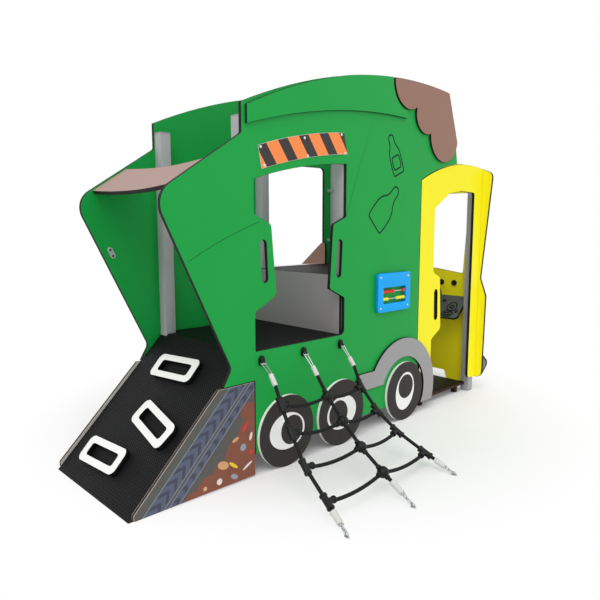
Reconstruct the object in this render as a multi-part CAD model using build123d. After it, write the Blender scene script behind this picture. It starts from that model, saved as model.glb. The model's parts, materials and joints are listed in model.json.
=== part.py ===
"""Playground play truck: a refuse lorry of coloured boards on square posts.

Millimetres, +Z up. The truck faces +X, its near side is -Y and its floor is Z = 0.
X = 0 is the front face of the rear posts and Y = 0 is the truck's middle plane.
On export everything moves together, so that the origin is the middle of the whole
outline on the floor.
"""

from build123d import *
from math import acos, atan2, cos, degrees, radians, sin, sqrt, tan
import os

# ---------------------------------------------------------------- driving sizes
BODY_W = 758.0          # across the outer faces of the two sides
BOARD = 19.0            # laminate board of the sides, front, riser and cheeks
TRIM_BOARD = 13.0       # laminate board of what is screwed on the sides
DECK_BOARD = 18.0       # decks, ramp and cab floor
WHEEL_BOARD = 19.0      # wheel discs and bumper
SEAM = 4.0              # open joint between neighbouring boards
FIT = 1.0               # gap of a board let in beside a post or a board

POST = 60.0             # square post, outside
POST_WALL = 3.0
POST_CAP = 6.0
POST_CAP_INSET = 0.5
FOOT_PLATE = 6.0        # plate that closes a post's foot
ANCHOR_HOLE_R = 7.0     # hole in that plate for the ground bolt
BAY_1 = 625.0           # clear length of the rear bay, between posts
BAY_2 = 620.0           # clear length of the slide bay
BAY_3 = 642.0           # clear length of the cab bay
REAR_POST_DROP = 347.0  # post tops under the crown of the green sides
MID_POST_DROP = 175.0
CAB_POST_DROP = 175.0
FRONT_POST_DROP = 87.0  # front post tops under the crown of the yellow sides

LOWER_DECK_Z = 608.0    # tops of the two decks and of the cab floor
UPPER_DECK_Z = 928.0
CAB_FLOOR_Z = 66.0
CAB_FLOOR_INSET = 30.0  # its side edges in from the inner faces of the sides

TOP_ARC_R = 3299.0      # arched top of the sides
TOP_ARC_X = 1308.0
TOP_Z = 2023.0
BAND_ARC_R = 3675.0     # lower edge of the raised band along the top
BAND_ARC_X = 1066.0
BAND_DROP = 219.0       # its crown under the side's crown
BAND_END_X = 1145.0
BAND_GAP = 16.0         # open strip between the band and the heap beside it
SIDE_FOOT_Z = 110.0     # underside of the green sides
REAR_TOP_DROP = 431.0   # under the crown, where the rear edge leaves the post and slopes out
REAR_LIP_X = -502.0     # point of the sloped hood, before rounding
REAR_LIP_DROP = 712.0
REAR_KNEE_X = -135.0    # where the sloped rear edge meets the ramp cheek
REAR_KNEE_Z = 549.0
LIP_R = 100.0
KNEE_R = 42.0
CHEEK_TOP_Z = 470.0     # top edge of the ramp cheek under the green side

WINDOW_ARC_R = 2509.0   # arched head of the rear bay's window
WINDOW_ARC_X = 749.0
WINDOW_DROP = 511.0     # its crown under the side's crown
HAZARD_T = 4.0          # curved plate over the window
HAZARD_TOP_R = 2555.0
HAZARD_TOP_X = 816.0
HAZARD_TOP_RISE = 162.0  # crowns of its two edges over the window's crown
HAZARD_LOW_R = 2902.0
HAZARD_LOW_X = 897.0
HAZARD_LOW_RISE = 59.0
LOAD_BOARD = 13.0       # heap that shows over the side
GATE_DROP = 443.0       # head of the slide's opening under the side's crown
GATE_TILT = 3.0         # that head's ends over and under its middle
GATE_GAP = 2.0          # between the slide's cheeks and that opening

CAB_SEAM_X = 1320.0     # where green meets yellow
LOW_SEAM_X = 1425.0     # and lower down, behind the front fender
LOW_SEAM_Z = 345.0
YELLOW_ARC_R = 1264.0
YELLOW_ARC_X = 1881.0
YELLOW_TOP_Z = 1595.0
YELLOW_FOOT_Z = 70.0
YELLOW_TOE_Z = 108.0
DOOR_REAR_X = 1478.0
DOOR_FRONT_X = 1961.0
DOOR_TOP_Z = 1416.0
SLOT_L = 200.0          # hand slots beside the window and the door
SLOT_W = 40.0

RAMP_FOOT_X = -652.0    # the ramp's surface meets the floor here
RAMP_TOP_X = -50.0      # and the lower deck here
RAMP_LIP = 12.0         # cheeks stand this much over the ramp
CHEEK_FOOT_Z = 8.0      # underside of the cheeks
GRIP_L = 335.0
GRIP_W = 131.0
GRIP_T = 25.0
GRIP_HOLE_L = 241.0
GRIP_HOLE_W = 60.0

WHEEL_R = 182.0
RING_L = 236.0          # milled oval on each wheel, along the shift of its island
RING_W = 186.0
RING_DEPTH = 2.0
ISLAND_R = 74.0         # round island left standing in that oval

FENDER_R = 337.0
FENDER_GAP = 35.0       # between the fender and its wheel
FENDER_FOOT_Z = 68.0
FENDER_BOARD_RISE = 79.0  # running board's underside over the wheels' middle

FRONT_OVERHANG = 70.0   # front board past the sides, at the roof
FRONT_WAIST = 10.0      # and at the waist
FRONT_HIP = 56.0        # and at the hips
FRONT_ARC_R = 1067.0
FRONT_TOP_Z = 1649.0
FRONT_FOOT_Z = 103.0
FRONT_SHOULDER = 40.0   # straight run under each roof corner
FRONT_CORNER_R = 45.0
FRONT_ARCH_Z = 107.0    # underside of its raised middle
FRONT_ARCH_HALF = 123.0
FRONT_LEG_Z = 38.0      # underside of its legs beside that
WAIST_Z = 820.0
HIP_Z = 698.0
SCREEN_FOOT_Z = 846.0
SCREEN_TOP_Z = 1424.0
SCREEN_TOP_HALF = 282.0
SCREEN_FOOT_HALF = 250.0
SCREEN_SILL_RISE = 32.0  # of the sill's middle over its ends
KNOB_R = 21.0
KNOB_T = 8.0
KNOB_Z = 774.0
LAMP_R = 78.0
LAMP_INSET = 89.0       # lamp centre in from the side's outer face
LAMP_Z = 448.0
LAMP_DISH = 4.0
LAMP_RIM = 16.0
GRILLE_Z = 338.0
GRILLE_SLOTS = 5
GRILLE_PITCH = 52.0

CONSOLE_DROP = 145.0    # the console slopes at 45 degrees from the front board
CONSOLE_TOP_Z = 680.0
CONSOLE_CORNER_R = 28.0
GUSSET_T = 6.0
GUSSET_Y = 200.0
STEER_R = 135.0
STEER_RIM_R = 11.0
STEER_STANDOFF = 78.0
STEER_SHAFT_R = 9.0
STEER_BORE_GAP = 0.4
STEER_COLLAR_R = 20.0
STEER_COLLAR_T = 8.0
BUMPER_OVERHANG = 24.0  # bumper past the front board's hips
BUMPER_Z = 191.0
BUMPER_H = 148.0

SLIDE_W = 520.0         # across the outer faces of the slide's cheeks
SLIDE_OFFSET = 14.0     # its middle behind the middle of its bay
SLIDE_ANGLE = 40.0
SLIDE_CHEEK = 146.0     # cheek's top over the deck
SLIDE_SHEET = 3.0
SLIDE_RUNOUT = 340.0
SLIDE_EXIT_Z = 218.0
SLIDE_INSIDE = 30.0     # cheeks start this far inside the side
SLIDE_SKIRT = 75.0      # cheeks reach this far under the deck's surface

HOOD_X = -402.0         # sheet between the sides, over the ramp
HOOD_DROP = 679.0       # its lower edge under the side's crown
HOOD_ANGLE = 32.7
HOOD_L = 219.0
HOOD_T = 19.0
HOOD_SAG = 17.0

ROPE_R = 8.0
FERRULE_R = 12.0
CONNECTOR_R = 17.0
EYE_Z = 559.0           # height of the net's eyelets on the side
EYE_L = 50.0            # their height
EYE_W = 34.0
EYE_T = 8.0
LUG_R = 12.0
FORK_BAR_R = 3.5        # the two bars of each shackle
FORK_HALF = 7.0         # each bar from the middle between them
LOW_BAR_R = 5.0         # lower end bars
CROSS_SAG = 22.0        # of the cross ropes
NET_FOOT_R = 9.0
NET_FOOT_T = 8.0

PLATE_T = 22.0          # bead frame
PLATE_REAR_X = 888.0
PLATE_FRONT_X = 1199.0
PLATE_FOOT_Z = 695.0
PLATE_TOP_Z = 920.0
BEAD_LEFT = 938.0       # its window
BEAD_RIGHT = 1153.0
BEAD_FLOOR_Z = 743.0
BEAD_HEAD_Z = 837.0
BEAD_R = 10.5
BEAD_L = 28.0
BEAD_ROD_R = 3.0
BEAD_GAP = 0.6          # between neighbouring beads
BEAD_BORE_GAP = 0.4     # bead's bore over its rod

# ---------------------------------------------------------------- worked-out places
OUT = BODY_W / 2                     # outer face of a side
IN = OUT - BOARD                     # its inner face
POST_IN = IN - POST                  # inner face of a post
REAR_X = -POST
MID_X = BAY_1
CAB_X = MID_X + POST + BAY_2
FRONT_X = CAB_X + POST + BAY_3
NOSE_X = FRONT_X + POST              # rear face of the front board
RAMP_ANGLE = degrees(atan2(LOWER_DECK_Z, RAMP_TOP_X - RAMP_FOOT_X))
SLIDE_X = (MID_X + POST + CAB_X) / 2 - SLIDE_OFFSET
WINDOW_TOP_Z = TOP_Z - WINDOW_DROP
WHEEL_Z = WHEEL_R
SIDES = {"near": -1, "far": 1}


# ---------------------------------------------------------------- outlines and boards
def rounded(rows):
    """Face in a local plane: straight runs through (x, y, corner radius) rows."""
    ends = []
    for i, (x, y, r) in enumerate(rows):
        p = Vector(x, y)
        if r == 0:
            ends.append((p, None, p))
            continue
        before = (Vector(*rows[i - 1][:2]) - p).normalized()
        after = (Vector(*rows[(i + 1) % len(rows)][:2]) - p).normalized()
        half = acos(max(-1.0, min(1.0, before.dot(after)))) / 2
        middle = p + (before + after).normalized() * (r / sin(half))
        crown = middle + (p - middle).normalized() * r
        ends.append((p + before * (r / tan(half)), crown, p + after * (r / tan(half))))
    edges = []
    for i, (start, crown, end) in enumerate(ends):
        if crown is not None:
            edges.append(ThreePointArc(start, crown, end))
        following = ends[(i + 1) % len(ends)][0]
        if (following - end).length > 1e-6:
            edges.append(Line(end, following))
    return make_face(edges)


def upright(face, y, thickness):
    """Board from an X-Z outline, from Y = y outwards on the near side."""
    return extrude(Plane(origin=(0, y, 0), x_dir=(1, 0, 0), z_dir=(0, -1, 0)) * face,
                   amount=thickness)


def crosswise(face, x, thickness):
    """Board from a Y-Z outline, from X = x forwards."""
    return extrude(Plane(origin=(x, 0, 0), x_dir=(0, 1, 0), z_dir=(1, 0, 0)) * face,
                   amount=thickness)


def disc(x, z, r):
    """Round face at a place in a local plane."""
    return Pos(x, z) * Circle(r)


def rect(x0, x1, y0, y1):
    """Rectangular face between two corners."""
    return Pos((x0 + x1) / 2, (y0 + y1) / 2) * Rectangle(x1 - x0, y1 - y0)


def block(x0, x1, y0, y1, z0, z1):
    """Upright box between two corners."""
    return Pos((x0 + x1) / 2, (y0 + y1) / 2, (z0 + z1) / 2) * Box(x1 - x0, y1 - y0, z1 - z0)


def rod(start, end, r):
    """Round bar between two points."""
    start, end = Vector(*start), Vector(*end)
    way = end - start
    return Plane(origin=start, z_dir=way) * Cylinder(r, way.length, align=(
        Align.CENTER, Align.CENTER, Align.MIN))


def on_side(shape, side):
    """The near-side shape, or its mirror image on the far side."""
    return shape if side == "near" else mirror(shape, about=Plane.XZ)


# ---------------------------------------------------------------- sides
def top_disc():
    return disc(TOP_ARC_X, TOP_Z - TOP_ARC_R, TOP_ARC_R)


def side_face():
    """Green side without its openings."""
    rows = [
        (REAR_X - 4, TOP_Z + 200, 0),
        (REAR_X - 4, TOP_Z - REAR_TOP_DROP, 20),
        (REAR_LIP_X, TOP_Z - REAR_LIP_DROP, LIP_R),
        (REAR_KNEE_X, REAR_KNEE_Z, KNEE_R),
        (REAR_KNEE_X - 48, CHEEK_TOP_Z, 0),
        (0, CHEEK_TOP_Z, 0),
        (0, SIDE_FOOT_Z, 0),
        (LOW_SEAM_X, SIDE_FOOT_Z, 0),
        (LOW_SEAM_X, LOW_SEAM_Z, 0),
        (CAB_SEAM_X, LOW_SEAM_Z, 0),
        (CAB_SEAM_X, YELLOW_TOP_Z - 230, 0),
        (1722, YELLOW_TOP_Z - 230, 0),
        (1722, TOP_Z - 425, 0),
        (1700, TOP_Z - 313, 0),
        (1583, TOP_Z - 10, 0),
        (1583, TOP_Z + 200, 0),
    ]
    cab = disc(YELLOW_ARC_X, YELLOW_TOP_Z - YELLOW_ARC_R, YELLOW_ARC_R + SEAM)
    cab &= rect(CAB_SEAM_X, NOSE_X, 0, TOP_Z)
    return (rounded(rows) & top_disc()) - cab


def window_face():
    """Window of the rear bay, with an ear on each side that carries a hand slot."""
    sill = LOWER_DECK_Z
    rows = [
        (4, WINDOW_TOP_Z, 0), (4, sill + 636, 12), (107, sill + 588, 26), (137, sill + 262, 16),
        (122, sill + 246, 12), (9, sill + 187, 12), (5, sill + 150, 0),
        (5, sill, 4), (MID_X - 1, sill, 30), (MID_X - 1, sill + 200, 12),
        (MID_X - 117, sill + 256, 14), (MID_X - 93, sill + 589, 20), (MID_X + 6, sill + 628, 16),
        (MID_X + 6, WINDOW_TOP_Z, 0),
    ]
    return rounded(rows) & disc(WINDOW_ARC_X, WINDOW_TOP_Z - WINDOW_ARC_R, WINDOW_ARC_R)


def hand_slots():
    """One slanted slot in each ear of the window."""
    left = Pos(61, LOWER_DECK_Z + 418) * Rot(0, 0, 93) * SlotOverall(SLOT_L, SLOT_W)
    right = Pos(MID_X - 44, LOWER_DECK_Z + 411) * Rot(0, 0, 87) * SlotOverall(SLOT_L, SLOT_W)
    return left + right


def slide_opening():
    """Opening of the slide bay, over the upper deck."""
    half = SLIDE_W / 2 + GATE_GAP
    low = UPPER_DECK_Z - DECK_BOARD
    high = TOP_Z - GATE_DROP
    return rounded([(SLIDE_X - half, low, 0), (SLIDE_X + half, low, 0),
                    (SLIDE_X + half, high + GATE_TILT, 30), (SLIDE_X - half, high - GATE_TILT, 30)])


def green_side(side):
    face = side_face()
    if side == "near":
        face = face - window_face() - hand_slots()
    else:
        face = face - slide_opening()
    return on_side(upright(face, -IN, BOARD), side)


def top_band(side):
    """Raised board along the top, which ends beside the heap."""
    outer = disc(TOP_ARC_X + 77, TOP_Z - TOP_ARC_R + 17, TOP_ARC_R) & side_face()
    lower = disc(BAND_ARC_X, TOP_Z - BAND_DROP - BAND_ARC_R, BAND_ARC_R)
    area = rounded([(REAR_X + 18, TOP_Z, 0), (REAR_X + 18, TOP_Z - 395, 0),
                    (BAND_END_X, TOP_Z - BAND_DROP - 2, 14), (BAND_END_X, TOP_Z, 0)])
    return on_side(upright((outer & area) - lower - heap(BAND_GAP), -OUT, TRIM_BOARD), side)


LOAD_LOBES = [  # place along X, drop under the side's crown, radius
    (1165, 24, 142), (1345, 177, 110), (1543, 282, 154),
]


def heap(margin):
    """Three round lobes below a straight-edged top, grown by a margin."""
    middles = [(x, TOP_Z - drop, 0) for x, drop, r in LOAD_LOBES]
    first, last = LOAD_LOBES[0], LOAD_LOBES[-1]
    rear, front = first[0] - first[2] - margin, last[0] + 177
    face = rounded(middles + [(front, TOP_Z - last[1], 0), (front, TOP_Z + 85, 0),
                              (rear, TOP_Z + 85, 0), (rear, TOP_Z - first[1], 0)])
    for x, drop, r in LOAD_LOBES:
        face += disc(x, TOP_Z - drop, r + margin)
    return face


def load_face():
    """Heap that shows over the side."""
    return heap(0) & side_face()


def load_panel(side):
    return on_side(upright(load_face(), -OUT, LOAD_BOARD), side)


def hazard_plate(side):
    """Curved plate for warning stripes, over the window."""
    crown = WINDOW_TOP_Z
    area = rounded([(18, crown + 76, 0), (54, crown - 96, 0), (MID_X + 28, crown - 14, 0),
                    (MID_X - 30, crown + 196, 0)])
    face = area & disc(HAZARD_TOP_X, crown + HAZARD_TOP_RISE - HAZARD_TOP_R, HAZARD_TOP_R)
    face -= disc(HAZARD_LOW_X, crown + HAZARD_LOW_RISE - HAZARD_LOW_R, HAZARD_LOW_R)
    return on_side(upright(face, -OUT, HAZARD_T), side)


def ramp_cheek(side):
    """Board beside the ramp, with a lip over its surface."""
    slope = tan(radians(RAMP_ANGLE))
    rise = RAMP_LIP / cos(radians(RAMP_ANGLE))
    top = CHEEK_TOP_Z - SEAM
    face = rounded([
        (RAMP_FOOT_X + 16, CHEEK_FOOT_Z, 0), (RAMP_FOOT_X + 16, 16 * slope + rise, 6),
        (RAMP_FOOT_X + (top - rise) / slope, top, 0), (-SEAM, top, 0), (-SEAM, CHEEK_FOOT_Z, 0),
    ])
    return on_side(upright(face, -IN, BOARD), side)


# ---------------------------------------------------------------- cab
DOORWAY = [  # x, z, corner radius, down the rear post, over the door and down the front
    (DOOR_REAR_X, YELLOW_FOOT_Z, 12), (DOOR_REAR_X, 460, 25), (DOOR_REAR_X + 106, 520, 30),
    (DOOR_REAR_X + 83, 860, 30), (DOOR_REAR_X + 4, 896, 20), (DOOR_REAR_X, 1298, 30),
    (DOOR_REAR_X + 162, DOOR_TOP_Z - 20, 60), (DOOR_REAR_X + 302, DOOR_TOP_Z + 4, 0),
    (DOOR_FRONT_X, DOOR_TOP_Z - 2, 15), (DOOR_FRONT_X, YELLOW_TOE_Z, 32),
]


def cab_side(side):
    """Yellow side of the cab around its doorway, with a hand slot behind the door."""
    rear, low_rear, step = CAB_SEAM_X + SEAM, LOW_SEAM_X + SEAM, LOW_SEAM_Z + SEAM
    face = rounded([(rear, TOP_Z, 0), (rear, step, 0), (low_rear, step, 0),
                    (low_rear, YELLOW_FOOT_Z, 0)] + DOORWAY
                   + [(NOSE_X, YELLOW_TOE_Z, 0), (NOSE_X, TOP_Z, 0)])
    face &= disc(YELLOW_ARC_X, YELLOW_TOP_Z - YELLOW_ARC_R, YELLOW_ARC_R)
    face -= Pos(DOOR_REAR_X + 41, 684) * Rot(0, 0, 92) * SlotOverall(SLOT_L, SLOT_W)
    return on_side(upright(face, -IN, BOARD), side)


def front_face():
    """Front board: arched top, waist at the bonnet line and hips below it."""
    roof = OUT + FRONT_OVERHANG
    waist = OUT + FRONT_WAIST
    hip = OUT + FRONT_HIP
    corner_z = FRONT_TOP_Z - FRONT_ARC_R + sqrt(FRONT_ARC_R ** 2 - roof ** 2)
    half = [(FRONT_ARCH_HALF, FRONT_ARCH_Z, 14), (FRONT_ARCH_HALF + 22, FRONT_LEG_Z, 8),
            (OUT - 44, FRONT_LEG_Z, 14), (OUT - 32, FRONT_FOOT_Z, 14),
            (hip - 8, FRONT_FOOT_Z, 40), (hip, HIP_Z, 60), (waist, WAIST_Z, 50),
            (roof, corner_z - FRONT_SHOULDER, 0), (roof, FRONT_TOP_Z, 0)]
    face = rounded(half + [(-x, z, r) for x, z, r in reversed(half)])
    face &= disc(0, FRONT_TOP_Z - FRONT_ARC_R, FRONT_ARC_R)
    corners = [v for v in face.vertices() if v.Y > corner_z - 1 and abs(v.X) > roof - 1]
    return fillet(corners, FRONT_CORNER_R)


def front_board():
    """Front board with the windscreen cut out."""
    screen = rounded([
        (-SCREEN_TOP_HALF, SCREEN_TOP_Z, 18), (-SCREEN_FOOT_HALF, SCREEN_FOOT_Z, 18),
        (0, SCREEN_FOOT_Z + SCREEN_SILL_RISE, 150),
        (SCREEN_FOOT_HALF, SCREEN_FOOT_Z, 18), (SCREEN_TOP_HALF, SCREEN_TOP_Z, 18)])
    return crosswise(front_face() - screen, NOSE_X, BOARD)


def bumper():
    """Bumper board with pointed round ends."""
    tip = OUT + FRONT_HIP + BUMPER_OVERHANG - 8
    low, high = BUMPER_Z - BUMPER_H / 2, BUMPER_Z + BUMPER_H / 2
    half = [(tip - 36, low, 20), (tip, BUMPER_Z + 5, 14), (tip, BUMPER_Z + 38, 14),
            (tip - 36, high, 20)]
    face = rounded(half + [(-x, z, r) for x, z, r in reversed(half)])
    return crosswise(face, NOSE_X + BOARD, WHEEL_BOARD)


def grille():
    """Slotted board on the nose, between the lamps."""
    high = GRILLE_Z + (GRILLE_SLOTS + 1) * GRILLE_PITCH
    face = rounded([(-150, GRILLE_Z, 24), (150, GRILLE_Z, 24), (165, high, 24), (-165, high, 24)])
    for i in range(GRILLE_SLOTS):
        face -= Pos(0, GRILLE_Z + (i + 1) * GRILLE_PITCH) * SlotOverall(230, 22)
    return crosswise(face, NOSE_X + BOARD, TRIM_BOARD)


def headlamp(side):
    """Round lamp disc with a rim, on the front board."""
    place = (NOSE_X + BOARD, SIDES[side] * (OUT - LAMP_INSET), LAMP_Z)
    base = Plane(origin=place, z_dir=(1, 0, 0))
    lamp = base * extrude(Circle(LAMP_R), amount=WHEEL_BOARD)
    dish = base.offset(WHEEL_BOARD - LAMP_DISH) * extrude(Circle(LAMP_R - LAMP_RIM), amount=LAMP_R)
    return lamp - dish


def console():
    """Sloped dashboard between the front posts."""
    wide = POST_IN - SEAM
    long = CONSOLE_DROP * sqrt(2)
    top = Plane(origin=(NOSE_X, 0, CONSOLE_TOP_Z), x_dir=(0, 1, 0), z_dir=(-1, 0, 1))
    face = rounded([(-wide, -BOARD, 0), (wide, -BOARD, 0),
                    (wide, long, CONSOLE_CORNER_R), (-wide, long, CONSOLE_CORNER_R)])
    board = top * extrude(face, amount=-BOARD)
    board &= block(NOSE_X - 2 * CONSOLE_DROP, NOSE_X, -OUT, OUT, 0, CONSOLE_TOP_Z)
    return board - wheel_shaft(STEER_BORE_GAP)


def console_brackets():
    """Two gussets that carry the console on the front board."""
    edge = BOARD / sin(radians(45))
    top = CONSOLE_TOP_Z - edge
    rows = [(NOSE_X, top, 0), (NOSE_X - 110, top - 110, 0), (NOSE_X, top - 130, 0)]
    return [upright(rounded(rows), y + GUSSET_T / 2, GUSSET_T) for y in (-GUSSET_Y, GUSSET_Y)]


def steer_plane(height):
    """Plane across the steering axis, this high over the console's middle."""
    base = Plane(origin=(NOSE_X - CONSOLE_DROP / 2, 0, CONSOLE_TOP_Z - CONSOLE_DROP / 2),
                 x_dir=(0, 1, 0), z_dir=(-1, 0, 1))
    return base.offset(height)


def wheel_shaft(gap):
    """Shaft through the console, or its bore when given a gap."""
    tail = BOARD + FIT + STEER_COLLAR_T
    return rod(steer_plane(-tail).origin, steer_plane(STEER_STANDOFF).origin, STEER_SHAFT_R + gap)


def steering_wheel():
    """Rim, hub and three spokes on a shaft, held by a washer under the console."""
    plane = steer_plane(STEER_STANDOFF)
    wheel = plane * (Torus(STEER_R, STEER_RIM_R) + Cylinder(30, 26))
    for angle in (90, 210, 330):
        spoke = Rot(0, 0, angle) * Pos(STEER_R / 2, 0, 0) * Box(STEER_R, 18, 10)
        wheel += plane * spoke
    wheel += wheel_shaft(0)
    for low in (FIT, -BOARD - FIT - STEER_COLLAR_T):
        wheel += rod(steer_plane(low).origin, steer_plane(low + STEER_COLLAR_T).origin,
                     STEER_COLLAR_R)
    return wheel


def dash_knobs():
    """Round black knobs in a row under the windscreen."""
    return [rod((NOSE_X, y, KNOB_Z), (NOSE_X - KNOB_T, y, KNOB_Z), KNOB_R)
            for y in (-185, -80, 80, 185)]


# ---------------------------------------------------------------- wheels and fenders
WHEELS = [  # centre along X, and shift of the island in the milled oval
    (190, (31, -1)), (594, (-28, -2)), (1177, (7, 28)),
]


def wheel(x, shift, side):
    """Board disc with a milled oval that leaves a round island near one of its ends."""
    body = upright(disc(x, WHEEL_Z, WHEEL_R), -OUT, WHEEL_BOARD)
    turn = degrees(atan2(shift[1], shift[0]))
    oval = Pos(x, WHEEL_Z) * Rot(0, 0, turn) * Ellipse(RING_L / 2, RING_W / 2)
    oval -= disc(x + shift[0], WHEEL_Z + shift[1], ISLAND_R)
    body -= upright(oval, -OUT - WHEEL_BOARD + RING_DEPTH, RING_DEPTH + 1)
    return on_side(body, side)


def fender(side):
    """Running board that runs up and over the front wheel."""
    x = WHEELS[2][0] - 9
    board = WHEEL_Z + FENDER_BOARD_RISE
    face = disc(x - 6, WHEEL_Z - 4, FENDER_R)
    face &= rect(x - 2 * FENDER_R, x + 2 * FENDER_R, FENDER_FOOT_Z, WHEEL_Z + 2 * FENDER_R)
    face -= rect(x - 2 * FENDER_R, x, 0, board)
    face += rounded([(x - 446, board + 100, 22), (x - 406, board, 22), (x, board, 0),
                     (x, board + 98, 0)])
    face -= disc(x, WHEEL_Z - 2, WHEEL_R + FENDER_GAP)
    face -= rect(x, x + 300, 0, FENDER_FOOT_Z)
    return on_side(upright(face, -OUT, TRIM_BOARD), side)


# ---------------------------------------------------------------- posts and decks
POSTS = [  # name, rear face, top
    ("rear", REAR_X, TOP_Z - REAR_POST_DROP), ("mid", MID_X, TOP_Z - MID_POST_DROP),
    ("cab", CAB_X, TOP_Z - CAB_POST_DROP), ("front", FRONT_X, YELLOW_TOP_Z - FRONT_POST_DROP),
]


def post(x, top, side):
    """Square tube on the floor, with a foot plate that takes one ground bolt."""
    outer = block(x, x + POST, -IN, -POST_IN, 0, top - POST_CAP)
    hole = block(x + POST_WALL, x + POST - POST_WALL, -IN + POST_WALL, -POST_IN - POST_WALL,
                 FOOT_PLATE, top)
    middle = (-IN - POST_IN) / 2
    bolt = rod((x + POST / 2, middle, -1), (x + POST / 2, middle, FOOT_PLATE + 1), ANCHOR_HOLE_R)
    return on_side(outer - hole - bolt, side)


def post_caps():
    caps = []
    for name, x, top in POSTS:
        for side in SIDES:
            edge = POST_CAP_INSET
            cap = block(x + edge, x + POST - edge, -IN + edge, -POST_IN - edge,
                        top - POST_CAP, top)
            caps.append(on_side(cap, side))
    return caps


def around_posts(gap):
    """What a deck leaves clear for the posts."""
    boxes = []
    for name, x, top in POSTS:
        for sign in SIDES.values():
            y0, y1 = sorted((sign * (POST_IN - gap), sign * (IN + BOARD)))
            boxes.append(block(x - gap, x + POST + gap, y0, y1, -1, TOP_Z))
    return boxes


def deck(x0, x1, z):
    board = block(x0, x1, -IN + FIT, IN - FIT, z - DECK_BOARD, z)
    for box in around_posts(FIT):
        board -= box
    return board


def lower_deck():
    return deck(RAMP_TOP_X + FIT, MID_X - BOARD, LOWER_DECK_Z)


def upper_deck():
    return deck(MID_X, CAB_X + POST, UPPER_DECK_Z)


def cab_floor():
    """Cab floor between the posts, on four round feet."""
    half = IN - CAB_FLOOR_INSET
    board = block(CAB_X + POST + BOARD, FRONT_X, -half, half,
                  CAB_FLOOR_Z - DECK_BOARD, CAB_FLOOR_Z)
    for x in (CAB_X + POST + 120, FRONT_X - 80):
        for y in (-POST_IN + 5, POST_IN - 5):
            board += Pos(x, y, 0) * Cylinder(
                22, CAB_FLOOR_Z - DECK_BOARD, align=(Align.CENTER, Align.CENTER, Align.MIN))
    return board


def riser():
    """Upright board between the two decks."""
    return crosswise(rect(-IN + FIT, IN - FIT, LOWER_DECK_Z - DECK_BOARD - 40, UPPER_DECK_Z),
                     MID_X - BOARD, BOARD)


def cab_back():
    """Upright board between the slide bay and the cab."""
    return crosswise(rect(-IN + FIT, IN - FIT, CAB_FLOOR_Z - DECK_BOARD, TOP_Z - 375),
                     CAB_X + POST, BOARD)


def deck_brackets():
    """Steel angles that carry the decks on the inner faces of the posts."""
    size, thick = 46, 5
    middle = (POST - size) / 2
    places = [(RAMP_TOP_X + 2 * FIT, LOWER_DECK_Z), (MID_X - BOARD - size, LOWER_DECK_Z),
              (MID_X + middle, UPPER_DECK_Z), (CAB_X + middle, UPPER_DECK_Z)]
    found = []
    for x, z in places:
        under = z - DECK_BOARD
        leg = block(x, x + size, -POST_IN, -POST_IN + thick, under - size, under)
        leg += block(x, x + size, -POST_IN, -POST_IN + size, under - thick, under)
        found += [on_side(leg, side) for side in SIDES]
    return found


def panel_brackets():
    """Small angles that hold the sides on the posts."""
    wide, high, thick = 30, 20, 4
    found = []
    for name, x, top in POSTS[:3]:
        face, way = (x, -1) if name == "cab" else (x + POST, 1)
        for z in (UPPER_DECK_Z + 164, UPPER_DECK_Z + 504):
            xs = sorted((face, face + way * wide))
            leg = block(*xs, -IN, -IN + thick, z - high / 2, z + high / 2)
            xs = sorted((face, face + way * thick))
            leg += block(*xs, -IN, -IN + wide, z - high / 2, z + high / 2)
            found += [on_side(leg, side) for side in SIDES]
    return found


def ramp():
    """Sloped board from the floor to the lower deck."""
    drop = DECK_BOARD / cos(radians(RAMP_ANGLE))
    toe = DECK_BOARD / sin(radians(RAMP_ANGLE))
    board = upright(rounded([
        (RAMP_FOOT_X, 0, 0), (RAMP_TOP_X, LOWER_DECK_Z, 0),
        (RAMP_TOP_X, LOWER_DECK_Z - drop, 0), (RAMP_FOOT_X + toe, 0, 0)]), IN, 2 * IN)
    for box in around_posts(FIT):
        board -= box
    return board


GRIPS = [  # distance up the ramp, offset across, turn
    (676, 11, -86), (392, -115, -102), (166, 75, -87),
]


def ramp_grip(up, across, turn):
    """Ring-shaped grip that stands on the ramp."""
    angle = radians(RAMP_ANGLE)
    surface = Plane(origin=(RAMP_FOOT_X, 0, 0), x_dir=(cos(angle), 0, sin(angle)),
                    z_dir=(-sin(angle), 0, cos(angle)))
    face = RectangleRounded(GRIP_L, GRIP_W, 34) - RectangleRounded(GRIP_HOLE_L, GRIP_HOLE_W, 14)
    return surface * extrude(Pos(up, across) * Rot(0, 0, turn) * face, amount=GRIP_T)


def hood():
    """Sagging sheet between the sides, over the loading hopper."""
    angle = radians(HOOD_ANGLE)
    across = Plane(origin=(HOOD_X, 0, TOP_Z - HOOD_DROP), x_dir=(0, 1, 0),
                   z_dir=(cos(angle), 0, sin(angle)))
    face = make_face([
        ThreePointArc((-IN, 0), (0, -HOOD_SAG), (IN, 0)), Line((IN, 0), (IN, HOOD_T)),
        ThreePointArc((IN, HOOD_T), (0, HOOD_T - HOOD_SAG), (-IN, HOOD_T)),
        Line((-IN, HOOD_T), (-IN, 0))])
    return extrude(across * face, amount=HOOD_L)


def joint_plates():
    """Oblong plates inside the rear edges of the sides."""
    place = (REAR_LIP_X + 176, -IN, TOP_Z - REAR_LIP_DROP - 258)
    plate = Plane(origin=place, x_dir=(-0.42, 0, 0.91), z_dir=(0, 1, 0)) * extrude(
        SlotOverall(62, 28), amount=4)
    return [on_side(plate, side) for side in SIDES]


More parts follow.
